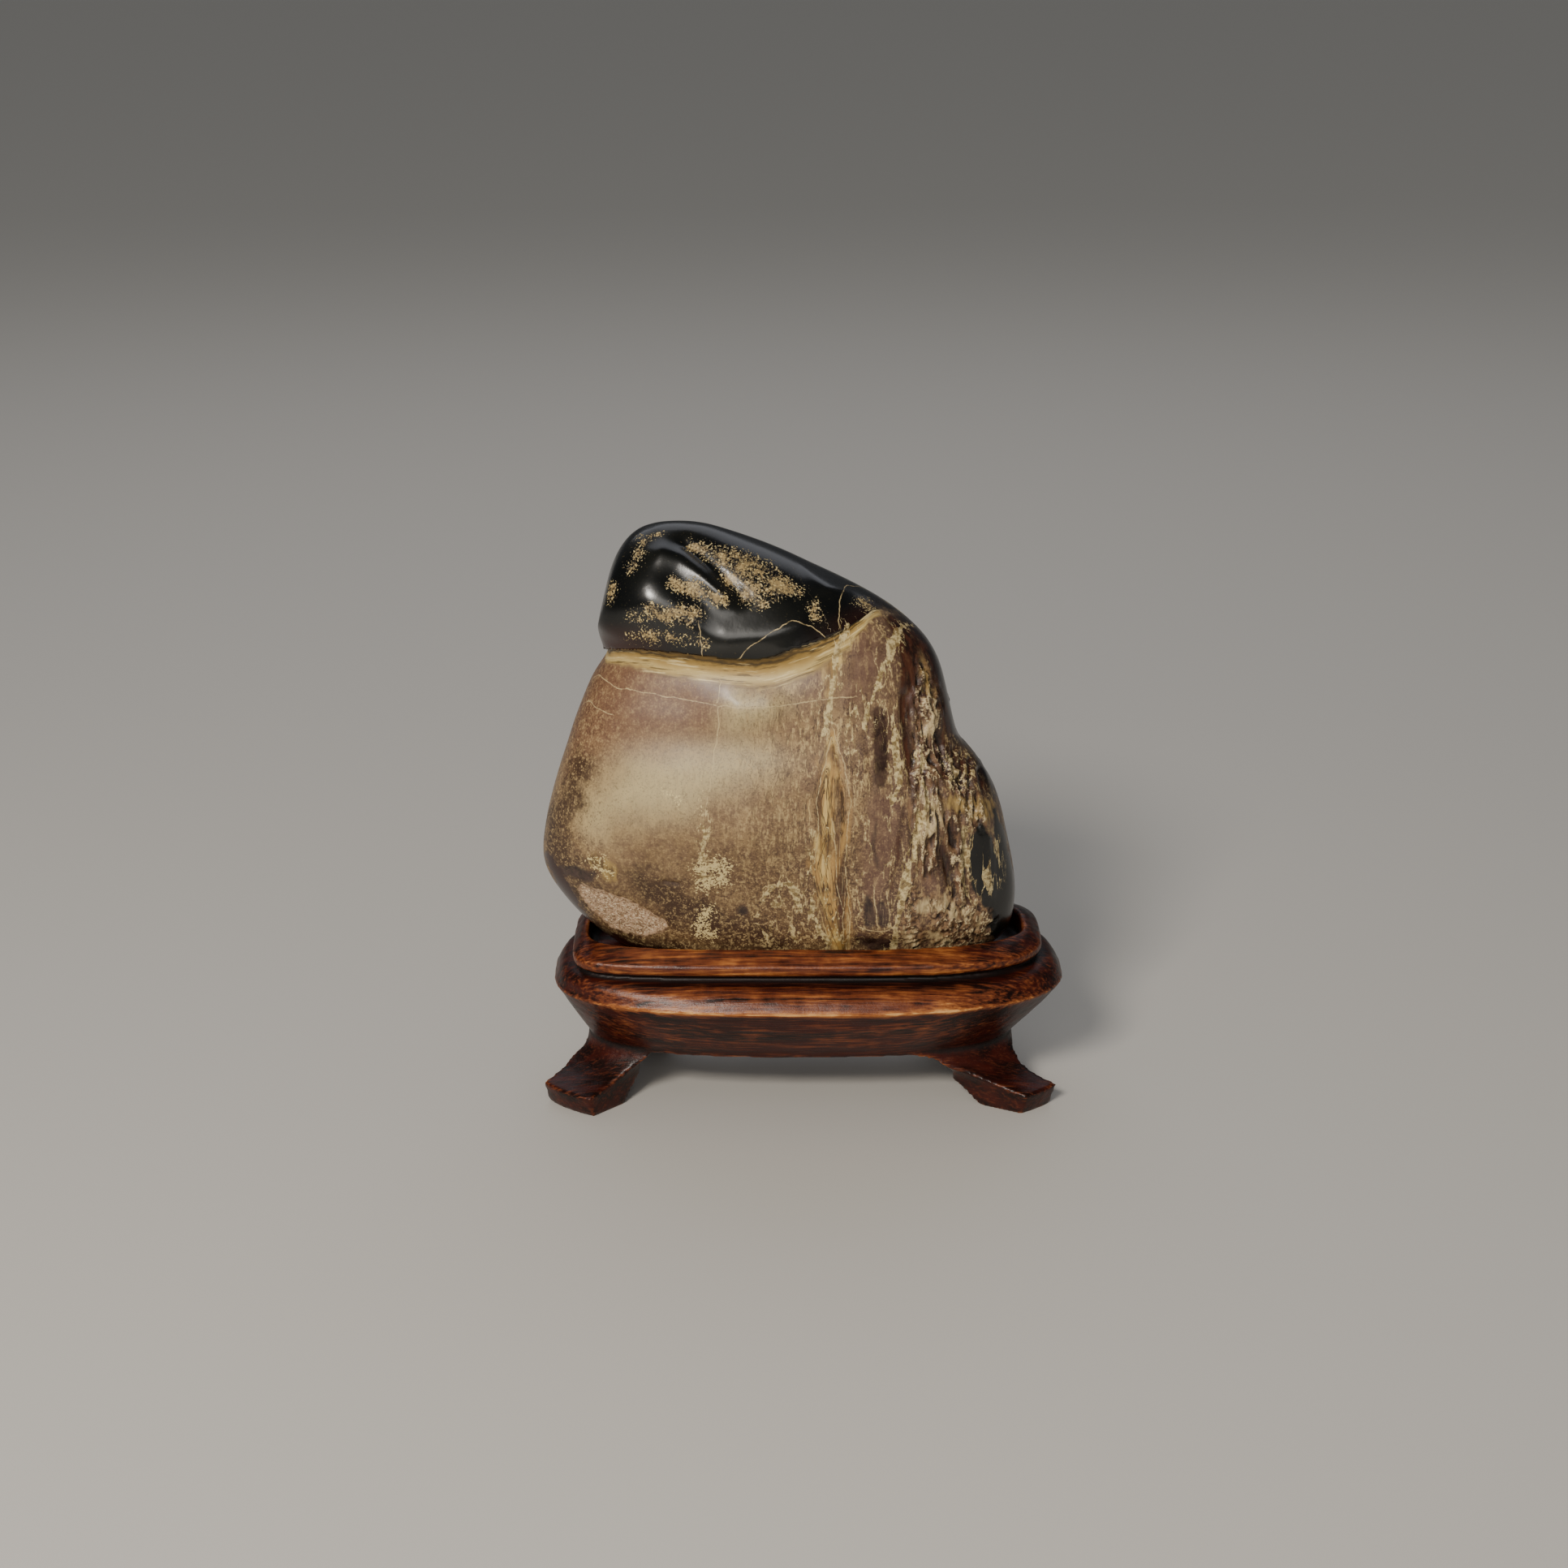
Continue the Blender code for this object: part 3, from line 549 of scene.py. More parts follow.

# The body: taupe, shaded in the five ways above, the pale one partly a painted highlight, with sand
# grains that show most low on the right and at the left end, and fine wisps of cream and brown that
# hang down through it.
tone = put(tree, RANGE, {0: pattern["mottle"], 1: 0.3, 2: 0.7}, **SOFT)
tone = put(tree, BLEND, {0: tone, FIRST: "#785e44", SECOND: "#8f744f"}, **COLOUR)
for stain, shade in (
    # The pale shade here is partly a painted highlight.
    ("ruddy", "#6b4833"), ("brown", "#4e341e"), ("mauve", "#5c4436"), ("pale", "#b8a679"),
    ("umber", "#331d0e"),
):
    tone = put(tree, BLEND, {0: kept[stain], FIRST: tone, SECOND: shade}, **COLOUR)
sand = put(tree, MATH, {0: pattern["grain"], 1: 0.6, 2: pattern["speck"]}, **PLUS)
for low, high, shade in ((0.82, 1.0, "#b79c6c"), (0.76, 0.62, "#352012")):
    grains = put(tree, RANGE, {0: sand, 1: low, 2: high}, **SOFT)
    grains = put(tree, MATH, {0: grains, 1: kept["sandy"]}, **TIMES)
    tone = put(tree, BLEND, {0: grains, FIRST: tone, SECOND: shade}, **COLOUR)
veiled = put(tree, RANGE, {0: pattern["streak"], 1: 0.50, 2: 0.36, 4: 0.38}, **SOFT)
veiled = put(tree, MATH, {0: veiled, 1: kept["wispy"]}, **TIMES)
tone = put(tree, BLEND, {0: veiled, FIRST: tone, SECOND: "#412a1c"}, **COLOUR)
for line, width, shade in (
    ("fibre", 0.050, "#b89e6d"), ("thread", 0.034, "#38221a"), ("mottle", 0.012, "#4a3322"),
):
    wisps = put(tree, RANGE, {0: ridge[line], 1: width, 2: 0.0}, **SOFT)
    broken_up = put(tree, RANGE, {0: pattern["grain"], 1: 0.38, 2: 0.56, 4: 0.85}, **SOFT)
    wisps = put(tree, MATH, {0: wisps, 1: broken_up}, **TIMES)
    wisps = put(tree, MATH, {0: wisps, 1: kept["wispy"]}, **TIMES)
    tone = put(tree, BLEND, {0: wisps, FIRST: tone, SECOND: shade}, **COLOUR)

# Each mineral: its strokes, its two colours and their pattern, how ragged and how soft its edge
# is in millimetres, and how solid it is.
LAYERS = (
    ("rose", "#5f4137", "#735645", "mottle", 1.6, 2.2, 0.55),
    ("broken_band", "#371f13", "#7a5b3e", "streak", 2.0, 1.5, 0.95),
    ("broken_crystals", "#3c2517", "#846646", "grain", 2.0, 1.5, 0.95),
    ("ochre_flame", "#5f4223", "#b58d4f", "fibre", 2.4, 1.2, 0.88),
    ("sallow", "#937339", "#ceb06c", "streak", 2.4, 1.0, 0.88),
    ("ochre", "#55401f", "#a0844c", "streak", 2.0, 0.8, 0.85),
    ("spar", "#735839", "#c4ae80", "streak", 2.6, 0.9, 0.85),
    ("maroon", "#22100a", "#452416", "streak", 1.8, 0.8, 0.92),
    ("smoky", "#241614", "#46332b", "mottle", 0.6, 0.5, 0.9),
    ("broken_facet", "#8f7254", "#b8997a", "grain", 0.5, 0.25, 1.0),
)
colour = tone
for mineral, dark, light, figure, ragged, soft, solid in LAYERS:
    pigment = put(tree, RANGE, {0: pattern[figure], 1: 0.38, 2: 0.62}, **SOFT)
    pigment = put(tree, BLEND, {0: pigment, FIRST: dark, SECOND: light}, **COLOUR)
    reach = put(tree, MATH, {0: pattern[figure], 1: 2.0 * ragged, 2: kept[mineral]}, **PLUS)
    cover = put(tree, RANGE, {0: reach, 1: ragged - soft, 2: ragged + soft, 4: solid}, **SOFT)
    colour = put(tree, BLEND, {0: cover, FIRST: colour, SECOND: pigment}, **COLOUR)

# The flame of ochre is banded like wood, dark and golden, along its own outline.
flame = put(tree, MATH, {0: pattern["mottle"], 1: 3.0, 2: kept["ochre_flame"]}, **PLUS)
flame = put(tree, RANGE, {0: flame, 1: 0.6, 2: 1.6}, **SOFT)
for low, high, shade in ((0.024, 0.006, "#38220f"), (0.12, 0.19, "#cdb173")):
    threads = put(tree, RANGE, {0: ridge["ring"], 1: low, 2: high, 4: 0.85}, **SOFT)
    threads = put(tree, MATH, {0: threads, 1: flame}, **TIMES)
    colour = put(tree, BLEND, {0: threads, FIRST: colour, SECOND: shade}, **COLOUR)

# On broken ground the crags are cream calcite and the clefts are painted dark as shade, and the
# facet is flecked light and dark like sugar, its light flecks painted sparkle as well.
on_broken = put(tree, MATH, {0: kept["broken_band"], 1: kept["broken_crystals"]}, **LARGER)
on_broken = put(tree, RANGE, {0: on_broken, 1: -0.8, 2: 1.0}, **SOFT)
crest = put(tree, MATH, {0: kept["crag"], 1: 0.8, 2: pattern["speck"]}, **PLUS)
# Cream on the crags, and painted shade in the clefts.
for low, high, shade in ((1.02, 1.30, "#cdb88d"), (0.60, 0.2, "#241209")):
    crags = put(tree, RANGE, {0: crest, 1: low, 2: high, 4: 0.95}, **SOFT)
    crags = put(tree, MATH, {0: crags, 1: on_broken}, **TIMES)
    colour = put(tree, BLEND, {0: crags, FIRST: colour, SECOND: shade}, **COLOUR)
on_facet = put(tree, RANGE, {0: kept["broken_facet"], 1: 0.0, 2: 0.8}, **SOFT)
# Light and dark grains on the facet; the light ones are also painted sparkle.
for low, high, shade in ((0.52, 0.64, "#d8c3a2"), (0.42, 0.34, "#6b5442")):
    sugar = put(tree, RANGE, {0: pattern["speck"], 1: low, 2: high}, **SOFT)
    sugar = put(tree, MATH, {0: sugar, 1: on_facet}, **TIMES)
    colour = put(tree, BLEND, {0: sugar, FIRST: colour, SECOND: shade}, **COLOUR)

# The seam under the cap: thin strata of olive, ochre and cream that follow the edge. The darkest
# olive, just under the edge, is also painted shadow of the overhanging lip.
depth = put(tree, MATH, {0: pattern["mottle"], 1: 1.6, 2: -0.8}, **PLUS)
depth = put(tree, MATH, {0: depth, 1: kept["above_edge"]}, operation="SUBTRACT")
depth = put(tree, MATH, {0: depth, 1: kept["seam"]}, operation="DIVIDE")
strata = put(tree, "ShaderNodeValToRGB", {0: depth})
ramp = strata.node.color_ramp
STRATA_WITH_LIP_SHADOW = (
    # The darkest stops, just under the cap's edge, are olive rock and painted shadow of the lip.
    (0.00, "#1f160a"), (0.07, "#4a3a18"), (0.16, "#8a6c30"), (0.24, "#3e2f15"), (0.31, "#8f7236"),
    (0.50, "#a88a4e"), (0.72, "#bda468"), (0.88, "#a3884f"), (1.00, "#836c48"),
)
while len(ramp.elements) < len(STRATA_WITH_LIP_SHADOW):
    ramp.elements.new(0.5)
for element, (position, shade) in zip(ramp.elements, STRATA_WITH_LIP_SHADOW):
    element.position = position
    element.color = linear(shade)
for low, high, shade in ((0.45, 0.38, "#4d3a18"), (0.55, 0.64, "#dcc68e")):
    lines = put(tree, RANGE, {0: pattern["layer"], 1: low, 2: high, 4: 0.75}, **SOFT)
    strata = put(tree, BLEND, {0: lines, FIRST: strata, SECOND: shade}, **COLOUR)
left_of_peak = put(tree, RANGE, {0: kept["across"], 1: 17.0, 2: 14.5}, **SOFT)
in_seam = put(tree, RANGE, {0: depth, 1: 1.15, 2: 0.92}, **SOFT)
in_seam = put(tree, MATH, {0: in_seam, 1: left_of_peak}, **TIMES)
colour = put(tree, BLEND, {0: in_seam, FIRST: colour, SECOND: strata}, **COLOUR)

# The black: the cap, warm where it thins, the flank it runs down, and the jet low at both ends.
black = put(tree, RANGE, {0: pattern["cloud"], 1: 0.4, 2: 0.66}, **SOFT)
black = put(tree, BLEND, {0: black, FIRST: "#060706", SECOND: "#11110d"}, **COLOUR)
dust = put(tree, RANGE, {0: pattern["speck"], 1: 0.64, 2: 0.74, 4: 0.4}, **SOFT)
black = put(tree, BLEND, {0: dust, FIRST: black, SECOND: "#4a412a"}, **COLOUR)
at_left = put(tree, RANGE, {0: kept["across"], 1: -24.0, 2: -40.0}, **SOFT)
flank = put(tree, RANGE, {0: kept["across"], 1: 13.5, 2: 18.5}, **SOFT)
at_right = put(tree, RANGE, {0: kept["across"], 1: -4.0, 2: 12.0, 4: 0.5}, **SOFT)
at_right = put(tree, MATH, {0: at_right, 1: flank}, operation="SUBTRACT")
thin = put(tree, MATH, {0: at_left, 1: at_right}, **LARGER)
thinnest = put(tree, RANGE, {0: kept["above_edge"], 1: 6.0, 2: 0.5}, **SOFT)
thin = put(tree, MATH, {0: thin, 1: thinnest}, **TIMES)
high = put(tree, RANGE, {0: kept["up"], 1: 60.0, 2: 74.0, 4: 0.8}, **SOFT)
high = put(tree, MATH, {0: flank, 1: high}, **TIMES)
for warm, shade in ((thin, "#2c120b"), (high, "#1f0e09")):
    black = put(tree, BLEND, {0: warm, FIRST: black, SECOND: shade}, **COLOUR)
crisp = put(tree, MATH, {0: pattern["grain"], 1: 0.5, 2: kept["above_edge"]}, **PLUS)
crisp = put(tree, RANGE, {0: crisp, 1: 0.13, 2: 0.37}, **SOFT)
faded = put(tree, MATH, {0: pattern["mottle"], 1: 8.0, 2: kept["above_edge"]}, **PLUS)
faded = put(tree, RANGE, {0: faded, 1: 0.5, 2: 7.0}, **SOFT)
in_cap = put(tree, BLEND, {0: flank, 2: crisp, 3: faded}, **NUMBER)
in_jet = put(tree, MATH, {0: pattern["mottle"], 1: 3.0, 2: kept["jet"]}, **PLUS)
in_jet = put(tree, RANGE, {0: in_jet, 1: 1.1, 2: 1.9}, **SOFT)
in_black = put(tree, MATH, {0: in_cap, 1: in_jet}, **LARGER)
colour = put(tree, BLEND, {0: in_black, FIRST: colour, SECOND: black}, **COLOUR)

# Gold granules let into the black: separate grains, thinning out towards the edges.
near_gold = put(tree, RANGE, {0: kept["gold"], 1: -2.2, 2: 1.4, 4: 0.36}, **SOFT)
gold = put(tree, MATH, {0: pattern["mottle"], 1: 0.6, 2: pattern["speck"]}, **PLUS)
gold = put(tree, MATH, {0: gold, 1: near_gold}, operation="ADD")
gold = put(tree, RANGE, {0: gold, 1: 1.02, 2: 1.14}, **SOFT)
gold_ends = put(tree, RANGE, {0: kept["gold"], 1: -2.4, 2: -0.6}, **SOFT)
gold = put(tree, MATH, {0: gold, 1: gold_ends}, **TIMES)
gold_shade = put(tree, MATH, {0: pattern["mottle"], 1: 1.2, 2: pattern["grain"]}, **PLUS)
gold_shade = put(tree, RANGE, {0: gold_shade, 1: 0.92, 2: 1.28}, **SOFT)
gold_shade = put(tree, BLEND, {0: gold_shade, FIRST: "#372b14", SECOND: "#8f784c"}, **COLOUR)
glint = put(tree, RANGE, {0: pattern["speck"], 1: 0.57, 2: 0.66, 4: 0.85}, **SOFT)
gold_shade = put(tree, BLEND, {0: glint, FIRST: gold_shade, SECOND: "#ceb97f"}, **COLOUR)
colour = put(tree, BLEND, {0: gold, FIRST: colour, SECOND: gold_shade}, **COLOUR)

# Calcite: cream veins that branch along the fibres of the rock, solid at heart and thinning to
# threads beside it, clusters of cream specks, and the hairline cracks that it filled.
heart = put(tree, MATH, {0: pattern["streak"], 1: 2.4, 2: kept["cream"]}, **PLUS)
heart = put(tree, RANGE, {0: heart, 1: 0.75, 2: 1.9, 4: 0.22}, **SOFT)
vein = put(tree, RANGE, {0: kept["cream"], 1: -3.0, 2: -0.3, 4: 0.022}, **SOFT)
vein = put(tree, MATH, {0: vein, 1: heart}, operation="ADD")
vein = put(tree, MATH, {0: vein, 1: ridge["fibre"]}, operation="SUBTRACT")
vein = put(tree, RANGE, {0: vein, 1: 0.0, 2: 0.012, 4: 0.92}, **SOFT)
crumbs = put(tree, MATH, {0: kept["cream"], 1: 0.05, 2: pattern["speck"]}, **PLUS)
crumbs = put(tree, RANGE, {0: crumbs, 1: 0.36, 2: 0.44, 3: 0.35}, **SOFT)
vein = put(tree, MATH, {0: vein, 1: crumbs}, **TIMES)
calcite = put(tree, RANGE, {0: pattern["grain"], 1: 0.36, 2: 0.6}, **SOFT)
calcite = put(tree, BLEND, {0: calcite, FIRST: "#7d683f", SECOND: "#c9b583"}, **COLOUR)
colour = put(tree, BLEND, {0: vein, FIRST: colour, SECOND: calcite}, **COLOUR)
near_cluster = put(tree, RANGE, {0: kept["clusters"], 1: -2.6, 2: 1.2, 4: 0.30}, **SOFT)
fleck = put(tree, MATH, {0: pattern["grain"], 1: 0.6, 2: pattern["speck"]}, **PLUS)
fleck = put(tree, MATH, {0: fleck, 1: near_cluster}, operation="ADD")
fleck = put(tree, RANGE, {0: fleck, 1: 0.99, 2: 1.08, 4: 0.9}, **SOFT)
cluster_ends = put(tree, RANGE, {0: kept["clusters"], 1: -2.8, 2: -1.0}, **SOFT)
fleck = put(tree, MATH, {0: fleck, 1: cluster_ends}, **TIMES)
colour = put(tree, BLEND, {0: fleck, FIRST: colour, SECOND: "#d2bd85"}, **COLOUR)
width = put(tree, MATH, {0: pattern["mottle"], 1: 1.4, 2: kept["crack"]}, **PLUS)
width = put(tree, MATH, {0: width, 1: 0.7}, operation="SUBTRACT")
width = put(tree, MATH, {0: width}, **UNSIGNED)
crack = put(tree, RANGE, {0: width, 1: 0.15, 2: 0.04}, **SOFT)
for number, low, high, least, most in (
    (kept["crack_end"], 0.6, 0.0, 0.0, 1.0), (pattern["grain"], 0.32, 0.56, 0.2, 0.85),
):
    share = put(tree, RANGE, {0: number, 1: low, 2: high, 3: least, 4: most}, **SOFT)
    crack = put(tree, MATH, {0: crack, 1: share}, **TIMES)
colour = put(tree, BLEND, {0: crack, FIRST: colour, SECOND: "#bba578"}, **COLOUR)

# Gloss: satin on the body, wet on the black, the smoky and the maroon, dry on gold and on
# broken rock.
on_rough = put(tree, RANGE, {0: kept["broken_facet"], 1: -0.2, 2: 0.4}, **SOFT)
on_rough = put(tree, MATH, {0: on_broken, 1: on_rough}, **LARGER)
glassy = in_black
for glass in ("smoky", "maroon"):
    polished = put(tree, RANGE, {0: kept[glass], 1: -0.4, 2: 0.4}, **SOFT)
    glassy = put(tree, MATH, {0: glassy, 1: polished}, **LARGER)
SATIN_LEAST, SATIN_MOST, WET, DRY_GOLD, DRY_ROCK = 0.42, 0.54, 0.24, 0.62, 0.5  # roughness
satin = put(tree, RANGE, {0: pattern["grain"], 1: 0.2, 2: 0.8, 3: SATIN_LEAST, 4: SATIN_MOST})
gloss = put(tree, BLEND, {0: glassy, 2: satin, 3: WET}, **NUMBER)
for dry, roughness in ((gold, DRY_GOLD), (on_rough, DRY_ROCK)):
    gloss = put(tree, BLEND, {0: dry, 2: gloss, 3: roughness}, **NUMBER)

grit = put(tree, MATH, {0: pattern["grain"], 1: 0.5, 2: pattern["speck"]}, **PLUS)
grit = put(tree, MATH, {0: grit, 1: on_rough}, **TIMES)
height = put(tree, MATH, {0: grit, 1: 0.5}, **TIMES)
for part, raised in (
    (gold, -0.14), (pattern["grain"], 0.035), (pattern["mottle"], 0.12), (vein, 0.05), (crack, -0.04),
):
    height = put(tree, MATH, {0: part, 1: raised, 2: height}, **PLUS)
FINE_RELIEF = 0.35 * MM
bump = put(tree, "ShaderNodeBump", {"Height": height, "Distance": FINE_RELIEF, "Strength": 0.9})
for socket, value in {"Base Color": colour, "Roughness": gloss, "Normal": bump}.items():
    tree.links.new(value, shader.inputs[socket])
for socket, value in {"IOR": 1.54, "Coat Weight": 0.1, "Coat Roughness": 0.16}.items():
    shader.inputs[socket].default_value = value

stone.data.materials.clear()
stone.data.materials.append(limestone)
stone.data.shade_smooth()
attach(stone, "root")
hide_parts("stone")

# ---- The stand --------------------------------------------------------------------------
# One block of dark hardwood, sawn and carved by hand, stained nearly black and waxed. Years
# of dusting have rubbed the stain off the crest, the rim and the edge of the apron, and a
# painted sheen lightens the crest, the cushion and the rim in front as well.

STAND_GRAIN_SIZE = 0.5
stand = fine_skin("stand", "stand_skin", STAND_GRAIN_SIZE, rounding=0, smoothing=4)
carved = read(stand.data, "co", "vertices", 3) / MM
outward = read(stand.data, "normal", "vertices", 3)
joins = read(stand.data, "vertices", "edges", 2)


def standing_proud(points, normals, edges, rounds):
    """How far each point stands out from the surface around it."""
    around = np.stack([worn(points[:, axis], edges, rounds) for axis in range(3)], 1)
    return ((points - around) * normals).sum(1)


# The groove under the rim is cut back, and the crest is left as a crisp arris.
GROOVE_LEVEL, GROOVE_HEIGHT, GROOVE_CUT = 31.4, 1.15, 0.9
CUSHION_LEVEL, RIM_LIP, RIM_LEVEL = 28.6, 33.2, 35.9
CREST_LEVEL, CREST_WIDTH, CREST_RISE = 26.2, 0.7, 0.45
RIM_MIDDLE, RIM_HALF = np.array((1.15, 0.5)), np.array((51.4, 20.1))
RIM_SQUARENESS, RIM_INSIDE, SIDE_ROUNDS = 2.5, 0.84, 40
sideways = np.stack([worn(outward[:, axis], joins, SIDE_ROUNDS) for axis in range(2)], 1)
sideways /= np.maximum(np.hypot(*sideways.T), 1e-6)[:, None]
rim_share = (np.abs((carved[:, :2] - RIM_MIDDLE) / RIM_HALF) ** RIM_SQUARENESS).sum(1)
profile = CREST_RISE * np.exp(-np.abs(carved[:, 2] - CREST_LEVEL) / CREST_WIDTH)
profile -= GROOVE_CUT * np.exp(-np.square((carved[:, 2] - GROOVE_LEVEL) / GROOVE_HEIGHT))
carved[:, :2] += sideways * (profile * (rim_share > RIM_INSIDE))[:, None]
EDGE_ROUNDS, BROAD_ROUNDS = 10, 60
edge_wear = standing_proud(carved, outward, joins, EDGE_ROUNDS)
tooling = 0.09 * lumps(carved, 7.0, seed=11)
tooling += 0.05 * lumps(carved, 2.4, seed=12, stretch=(3.0, 1.0, 0.7))
FLOOR_LEFT_FLAT, TOOLED_ABOVE, TALLEST_MARK = 0.05, 1.0, 0.12
tooling *= step(FLOOR_LEFT_FLAT, TOOLED_ABOVE, carved[:, 2])
tooling = np.minimum(tooling, TALLEST_MARK)
carved += outward * tooling[:, None]
stand.data.vertices.foreach_set("co", (carved * MM).ravel())
stand.data.update()

# Hands and dusters reach the crest, the cushion, the rim and the apron in front, and leave the
# ends, the back and the feet dark. The same bands carry a painted sheen, lighter where light
# falls on the front and dark at the ends and the back.
APRON_WEAR, FEET_DARKER = 0.6, 0.4
handled_and_sheen = APRON_WEAR * step(13.0, 18.0, carved[:, 2]) * step(25.0, 22.0, carved[:, 2])
# Bands of wear that also carry a painted sheen where the light falls on them.
for level, width, worn_and_lit_there in (
    (CREST_LEVEL, 1.2, 0.85), (CUSHION_LEVEL, 2.0, 1.0), (RIM_LEVEL, 1.3, 1.1), (RIM_LIP, 0.6, 0.9),
):
    handled_and_sheen += worn_and_lit_there * np.exp(-np.square((carved[:, 2] - level) / width))
handled_and_sheen *= step(4.0, -14.0, carved[:, 1]) * step(56.0, 28.0, np.abs(carved[:, 0]))
# The feet are kept darker than the rest.
handled_and_sheen -= FEET_DARKER * step(12.0, 8.0, carved[:, 2])
broad_wear = standing_proud(carved, outward, joins, BROAD_ROUNDS)
keep(stand.data, {"edge_wear": edge_wear, "broad_wear": broad_wear, "handled_and_sheen": handled_and_sheen})

hardwood, tree, shader = new_finish("stained_waxed_hardwood")
wear = {
    name: put(tree, "ShaderNodeAttribute", out="Fac", attribute_name=name)
    for name in ("edge_wear", "broad_wear", "handled_and_sheen")
}
place = put(tree, "ShaderNodeTexCoord", out="Object")
in_mm = put(tree, "ShaderNodeVectorMath", {0: place, "Scale": 1.0 / MM}, operation="SCALE")
along_mm = put(tree, "ShaderNodeMapping", {"Vector": in_mm, "Scale": (0.05, 1.0, 1.0)})

# Pores and fibres of 0.3 mm are drawn about twice as coarse as they are so that they show, and
# growth bands are 3 mm apart.
PATTERNS = {
    "fibres": (along_mm, 0.6, 4.0, 0.65), "bands": (along_mm, 3.0, 3.0, 0.5),
    "patches": (in_mm, 9.0, 4.0, 0.5), "dabs": (in_mm, 2.2, 4.0, 0.5), "pores": (in_mm, 0.5, 2.0, 0.6),
}
pattern = {
    name: put(tree, NOISE, {"Vector": where, "Scale": 1.0 / size, "Detail": detail, "Roughness": rough})
    for name, (where, size, detail, rough) in PATTERNS.items()
}

wood = put(tree, RANGE, {0: pattern["bands"], 1: 0.36, 2: 0.64}, **SOFT)
wood = put(tree, BLEND, {0: wood, FIRST: "#160704", SECOND: "#360e06"}, **COLOUR)
grain = put(tree, RANGE, {0: pattern["fibres"], 1: 0.48, 2: 0.68, 4: 0.7}, **SOFT)
wood = put(tree, BLEND, {0: grain, FIRST: wood, SECOND: "#52230f"}, **COLOUR)
# Rubbed-off stain, and the painted sheen on the lit front, show as lighter wood.
rubbed = put(tree, MATH, {0: wear["handled_and_sheen"], 1: 1.0, 2: -3.8}, **PLUS)
for part, weight in (
    (wear["edge_wear"], 2.2), (wear["broad_wear"], 0.9), (pattern["patches"], 1.9),
    (pattern["fibres"], 3.5), (pattern["dabs"], 0.8), (pattern["bands"], 0.4),
):
    rubbed = put(tree, MATH, {0: part, 1: weight, 2: rubbed}, **PLUS)
for low, high, solid, shade in (
    (-0.10, 0.80, 0.8, "#6d3519"), (0.60, 1.60, 0.9, "#a3642f"), (1.40, 2.20, 0.85, "#dba867"),
):
    bare = put(tree, RANGE, {0: rubbed, 1: low, 2: high, 4: solid}, **SOFT)
    wood = put(tree, BLEND, {0: bare, FIRST: wood, SECOND: shade}, **COLOUR)
# Creases and hollows are painted nearly black as shade, and their wax is left duller.
hollow_shade = put(tree, RANGE, {0: wear["edge_wear"], 1: -0.015, 2: -0.10, 4: 0.85}, **SOFT)
wood = put(tree, BLEND, {0: hollow_shade, FIRST: wood, SECOND: "#0b0605"}, **COLOUR)
wax = put(tree, MATH, {0: hollow_shade, 1: 0.2, 2: 0.16}, **PLUS)
relief_height = put(tree, MATH, {0: pattern["bands"], 1: 0.4}, **TIMES)
for part, matt, raised in (
    (pattern["fibres"], 0.16, 0.6), (pattern["dabs"], 0.14, 0.25), (pattern["pores"], 0.10, 0.3),
):
    wax = put(tree, MATH, {0: part, 1: matt, 2: wax}, **PLUS)
    relief_height = put(tree, MATH, {0: part, 1: raised, 2: relief_height}, **PLUS)
PORE_DEPTH = 0.14 * MM
bump = put(tree, "ShaderNodeBump", {"Height": relief_height, "Distance": PORE_DEPTH, "Strength": 0.9})
for socket, value in {"Base Color": wood, "Roughness": wax, "Normal": bump}.items():
    tree.links.new(value, shader.inputs[socket])
for socket, value in {"IOR": 1.45, "Specular IOR Level": 0.4}.items():
    shader.inputs[socket].default_value = value

stand.data.materials.clear()
stand.data.materials.append(hardwood)
stand.data.shade_smooth()
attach(stand, "root")
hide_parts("stand")

# ---- The table it is shown on, its light and its viewpoint ------------------------------
# A plain pale table top, a soft light high in front on the left, a wide lower one that fills in
# from the front, and a large one high behind for the back and the top of the cap.

TABLE_SIZE = 40.0  # metres, so that its far edge lies flat on the horizon
table = bpy.data.meshes.new("table_top")
half = TABLE_SIZE / 2.0
table.from_pydata(
    [(-half, -half, 0.0), (half, -half, 0.0), (half, half, 0.0), (-half, half, 0.0)], [], [(0, 1, 2, 3)]
)
table_top = bpy.data.objects.new("table_top", table)
bpy.context.scene.collection.objects.link(table_top)
pale_paint, tree, shader = new_finish("pale_matt_paint")
shader.inputs["Base Color"].default_value = linear("#b9b5ae")
shader.inputs["Roughness"].default_value = 0.7
table.materials.append(pale_paint)

MIDDLE = Vector((-0.0041, -0.0015, 0.0699))


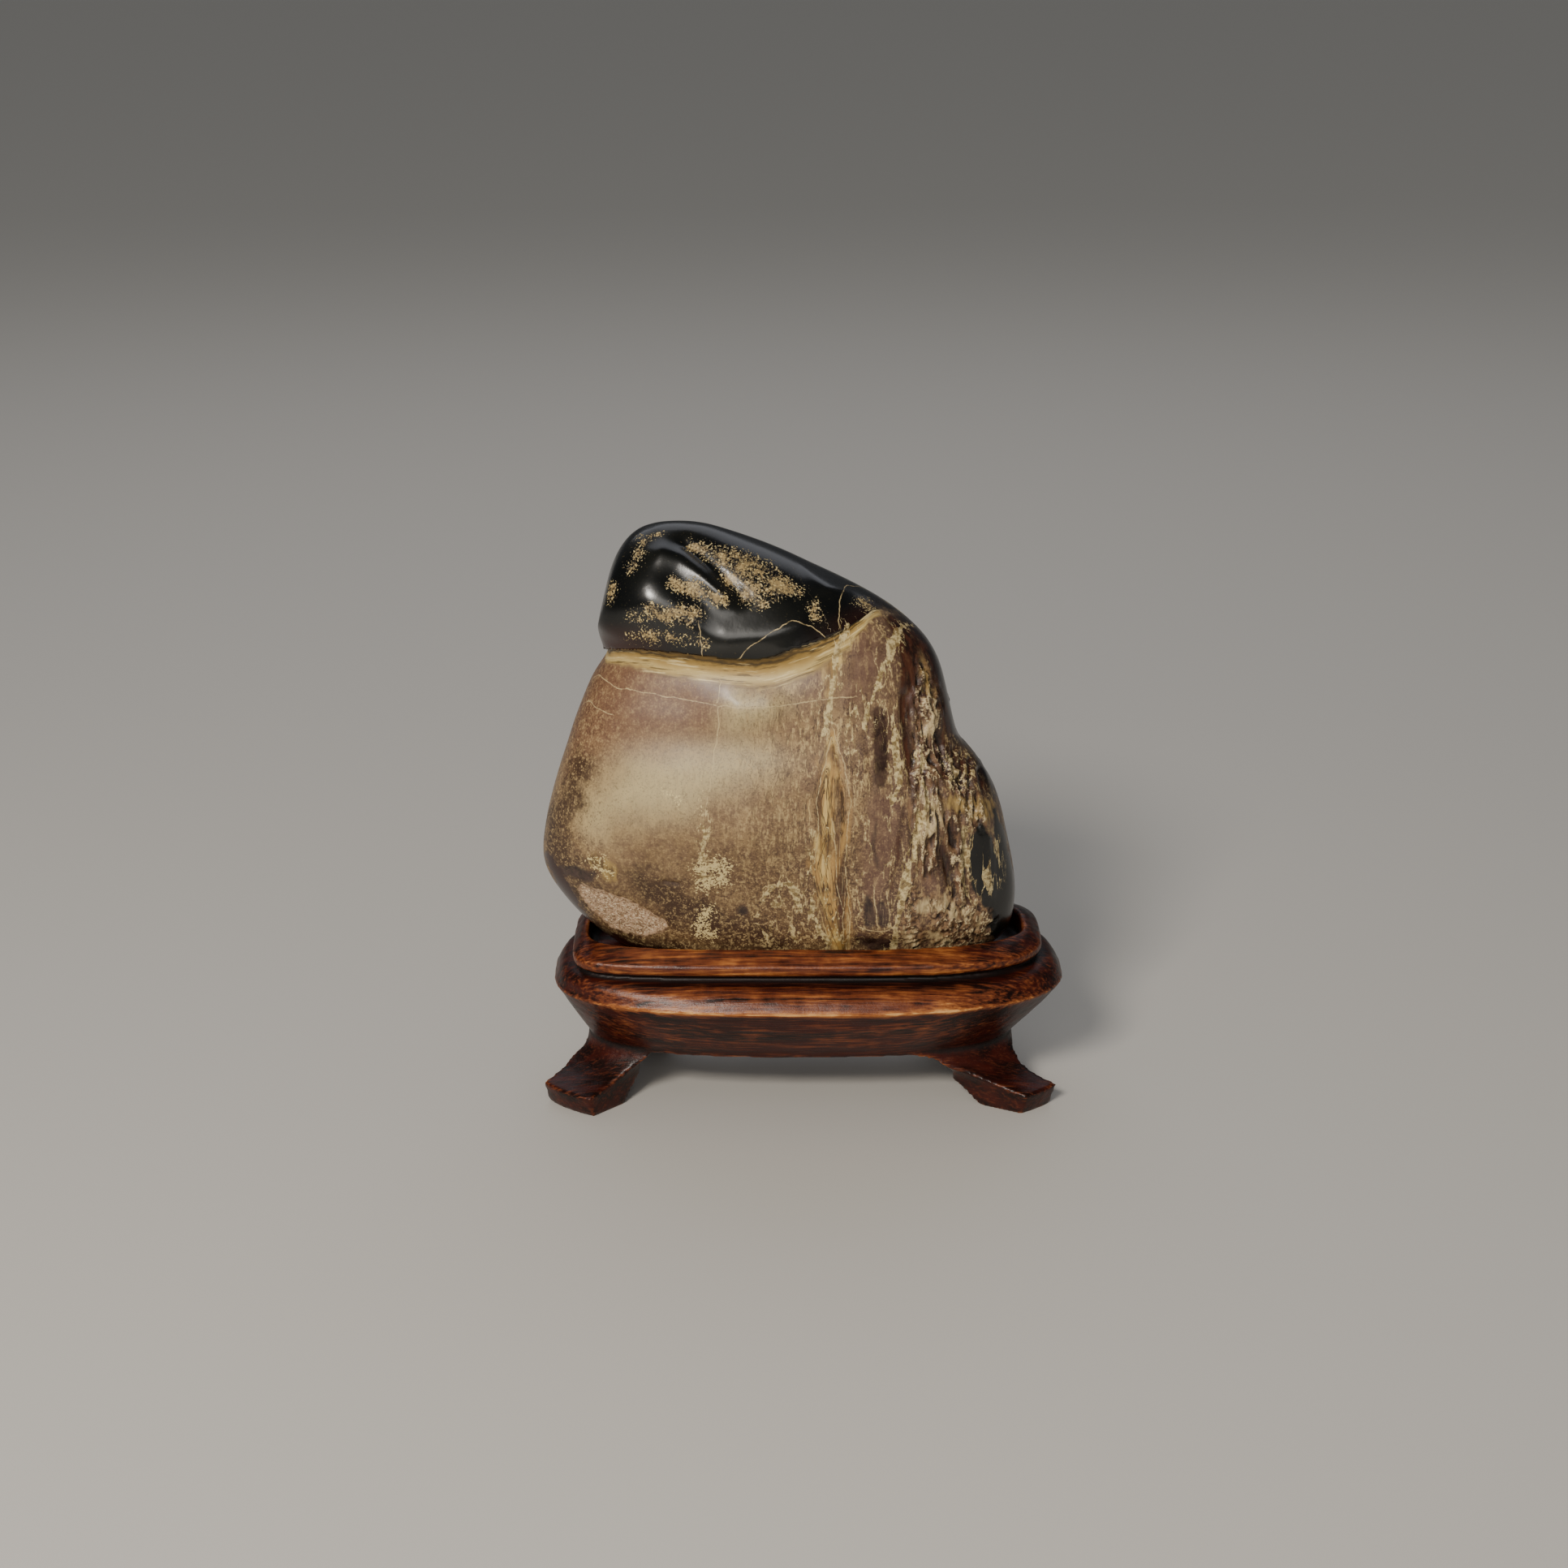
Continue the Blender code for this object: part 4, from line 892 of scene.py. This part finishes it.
def soft_light(name, place, size, power, colour):
    """A rectangular light of a size in metres and a power in watts, aimed at the object."""
    lamp = bpy.data.lights.new(name, "AREA")
    lamp.shape = "RECTANGLE"
    lamp.size, lamp.size_y = size
    lamp.energy = power
    lamp.color = linear(colour)[:3]
    made = bpy.data.objects.new(name, lamp)
    made.location = place
    made.rotation_euler = (MIDDLE - made.location).to_track_quat("-Z", "Y").to_euler()
    bpy.context.scene.collection.objects.link(made)


soft_light("key", (-0.30, -0.68, 0.58), size=(0.24, 0.16), power=7.8, colour="#fff8ee")
soft_light("front", (-0.10, -0.84, 0.44), size=(0.5, 0.3), power=1.5, colour="#fffaf2")
soft_light("behind", (-0.05, 0.62, 0.70), size=(1.0, 0.6), power=1.6, colour="#f4f6ff")

# Pale walls all round light the object evenly, but the polish mirrors a dim room, so that it
# shows dark beside its highlights. A pale screen stands behind.
room = bpy.data.worlds.new("room")
room.use_nodes = True
tree = room.node_tree
light = put(tree, "ShaderNodeBackground", {"Color": "#d8dadc", "Strength": 0.42})
rays = put(tree, "ShaderNodeLightPath").node
for ray, shade, strength in (("Is Glossy Ray", "#c8ccd2", 0.10), ("Is Camera Ray", "#c4c4c2", 0.75)):
    other = put(tree, "ShaderNodeBackground", {"Color": shade, "Strength": strength})
    light = put(tree, "ShaderNodeMixShader", {0: rays.outputs[ray], 1: light, 2: other})
tree.links.new(light, tree.nodes["World Output"].inputs["Surface"])
bpy.context.scene.world = room

CAMERA_DISTANCE = 0.6
IMAGE_SIZE, FOCAL_PIXELS, SENSOR = 1932.0, 3428.0, 36.0
view = bpy.data.cameras.new("view")
view.sensor_width = SENSOR
view.lens = FOCAL_PIXELS * SENSOR / IMAGE_SIZE
camera = bpy.data.objects.new("camera", view)
camera.location = MIDDLE + CAMERA_DISTANCE * Vector((0.0, -math.cos(SHELF_VIEW), math.sin(SHELF_VIEW)))
camera.rotation_euler = (math.pi / 2.0 - SHELF_VIEW, 0.0, 0.0)
bpy.context.scene.collection.objects.link(camera)
bpy.context.scene.camera = camera
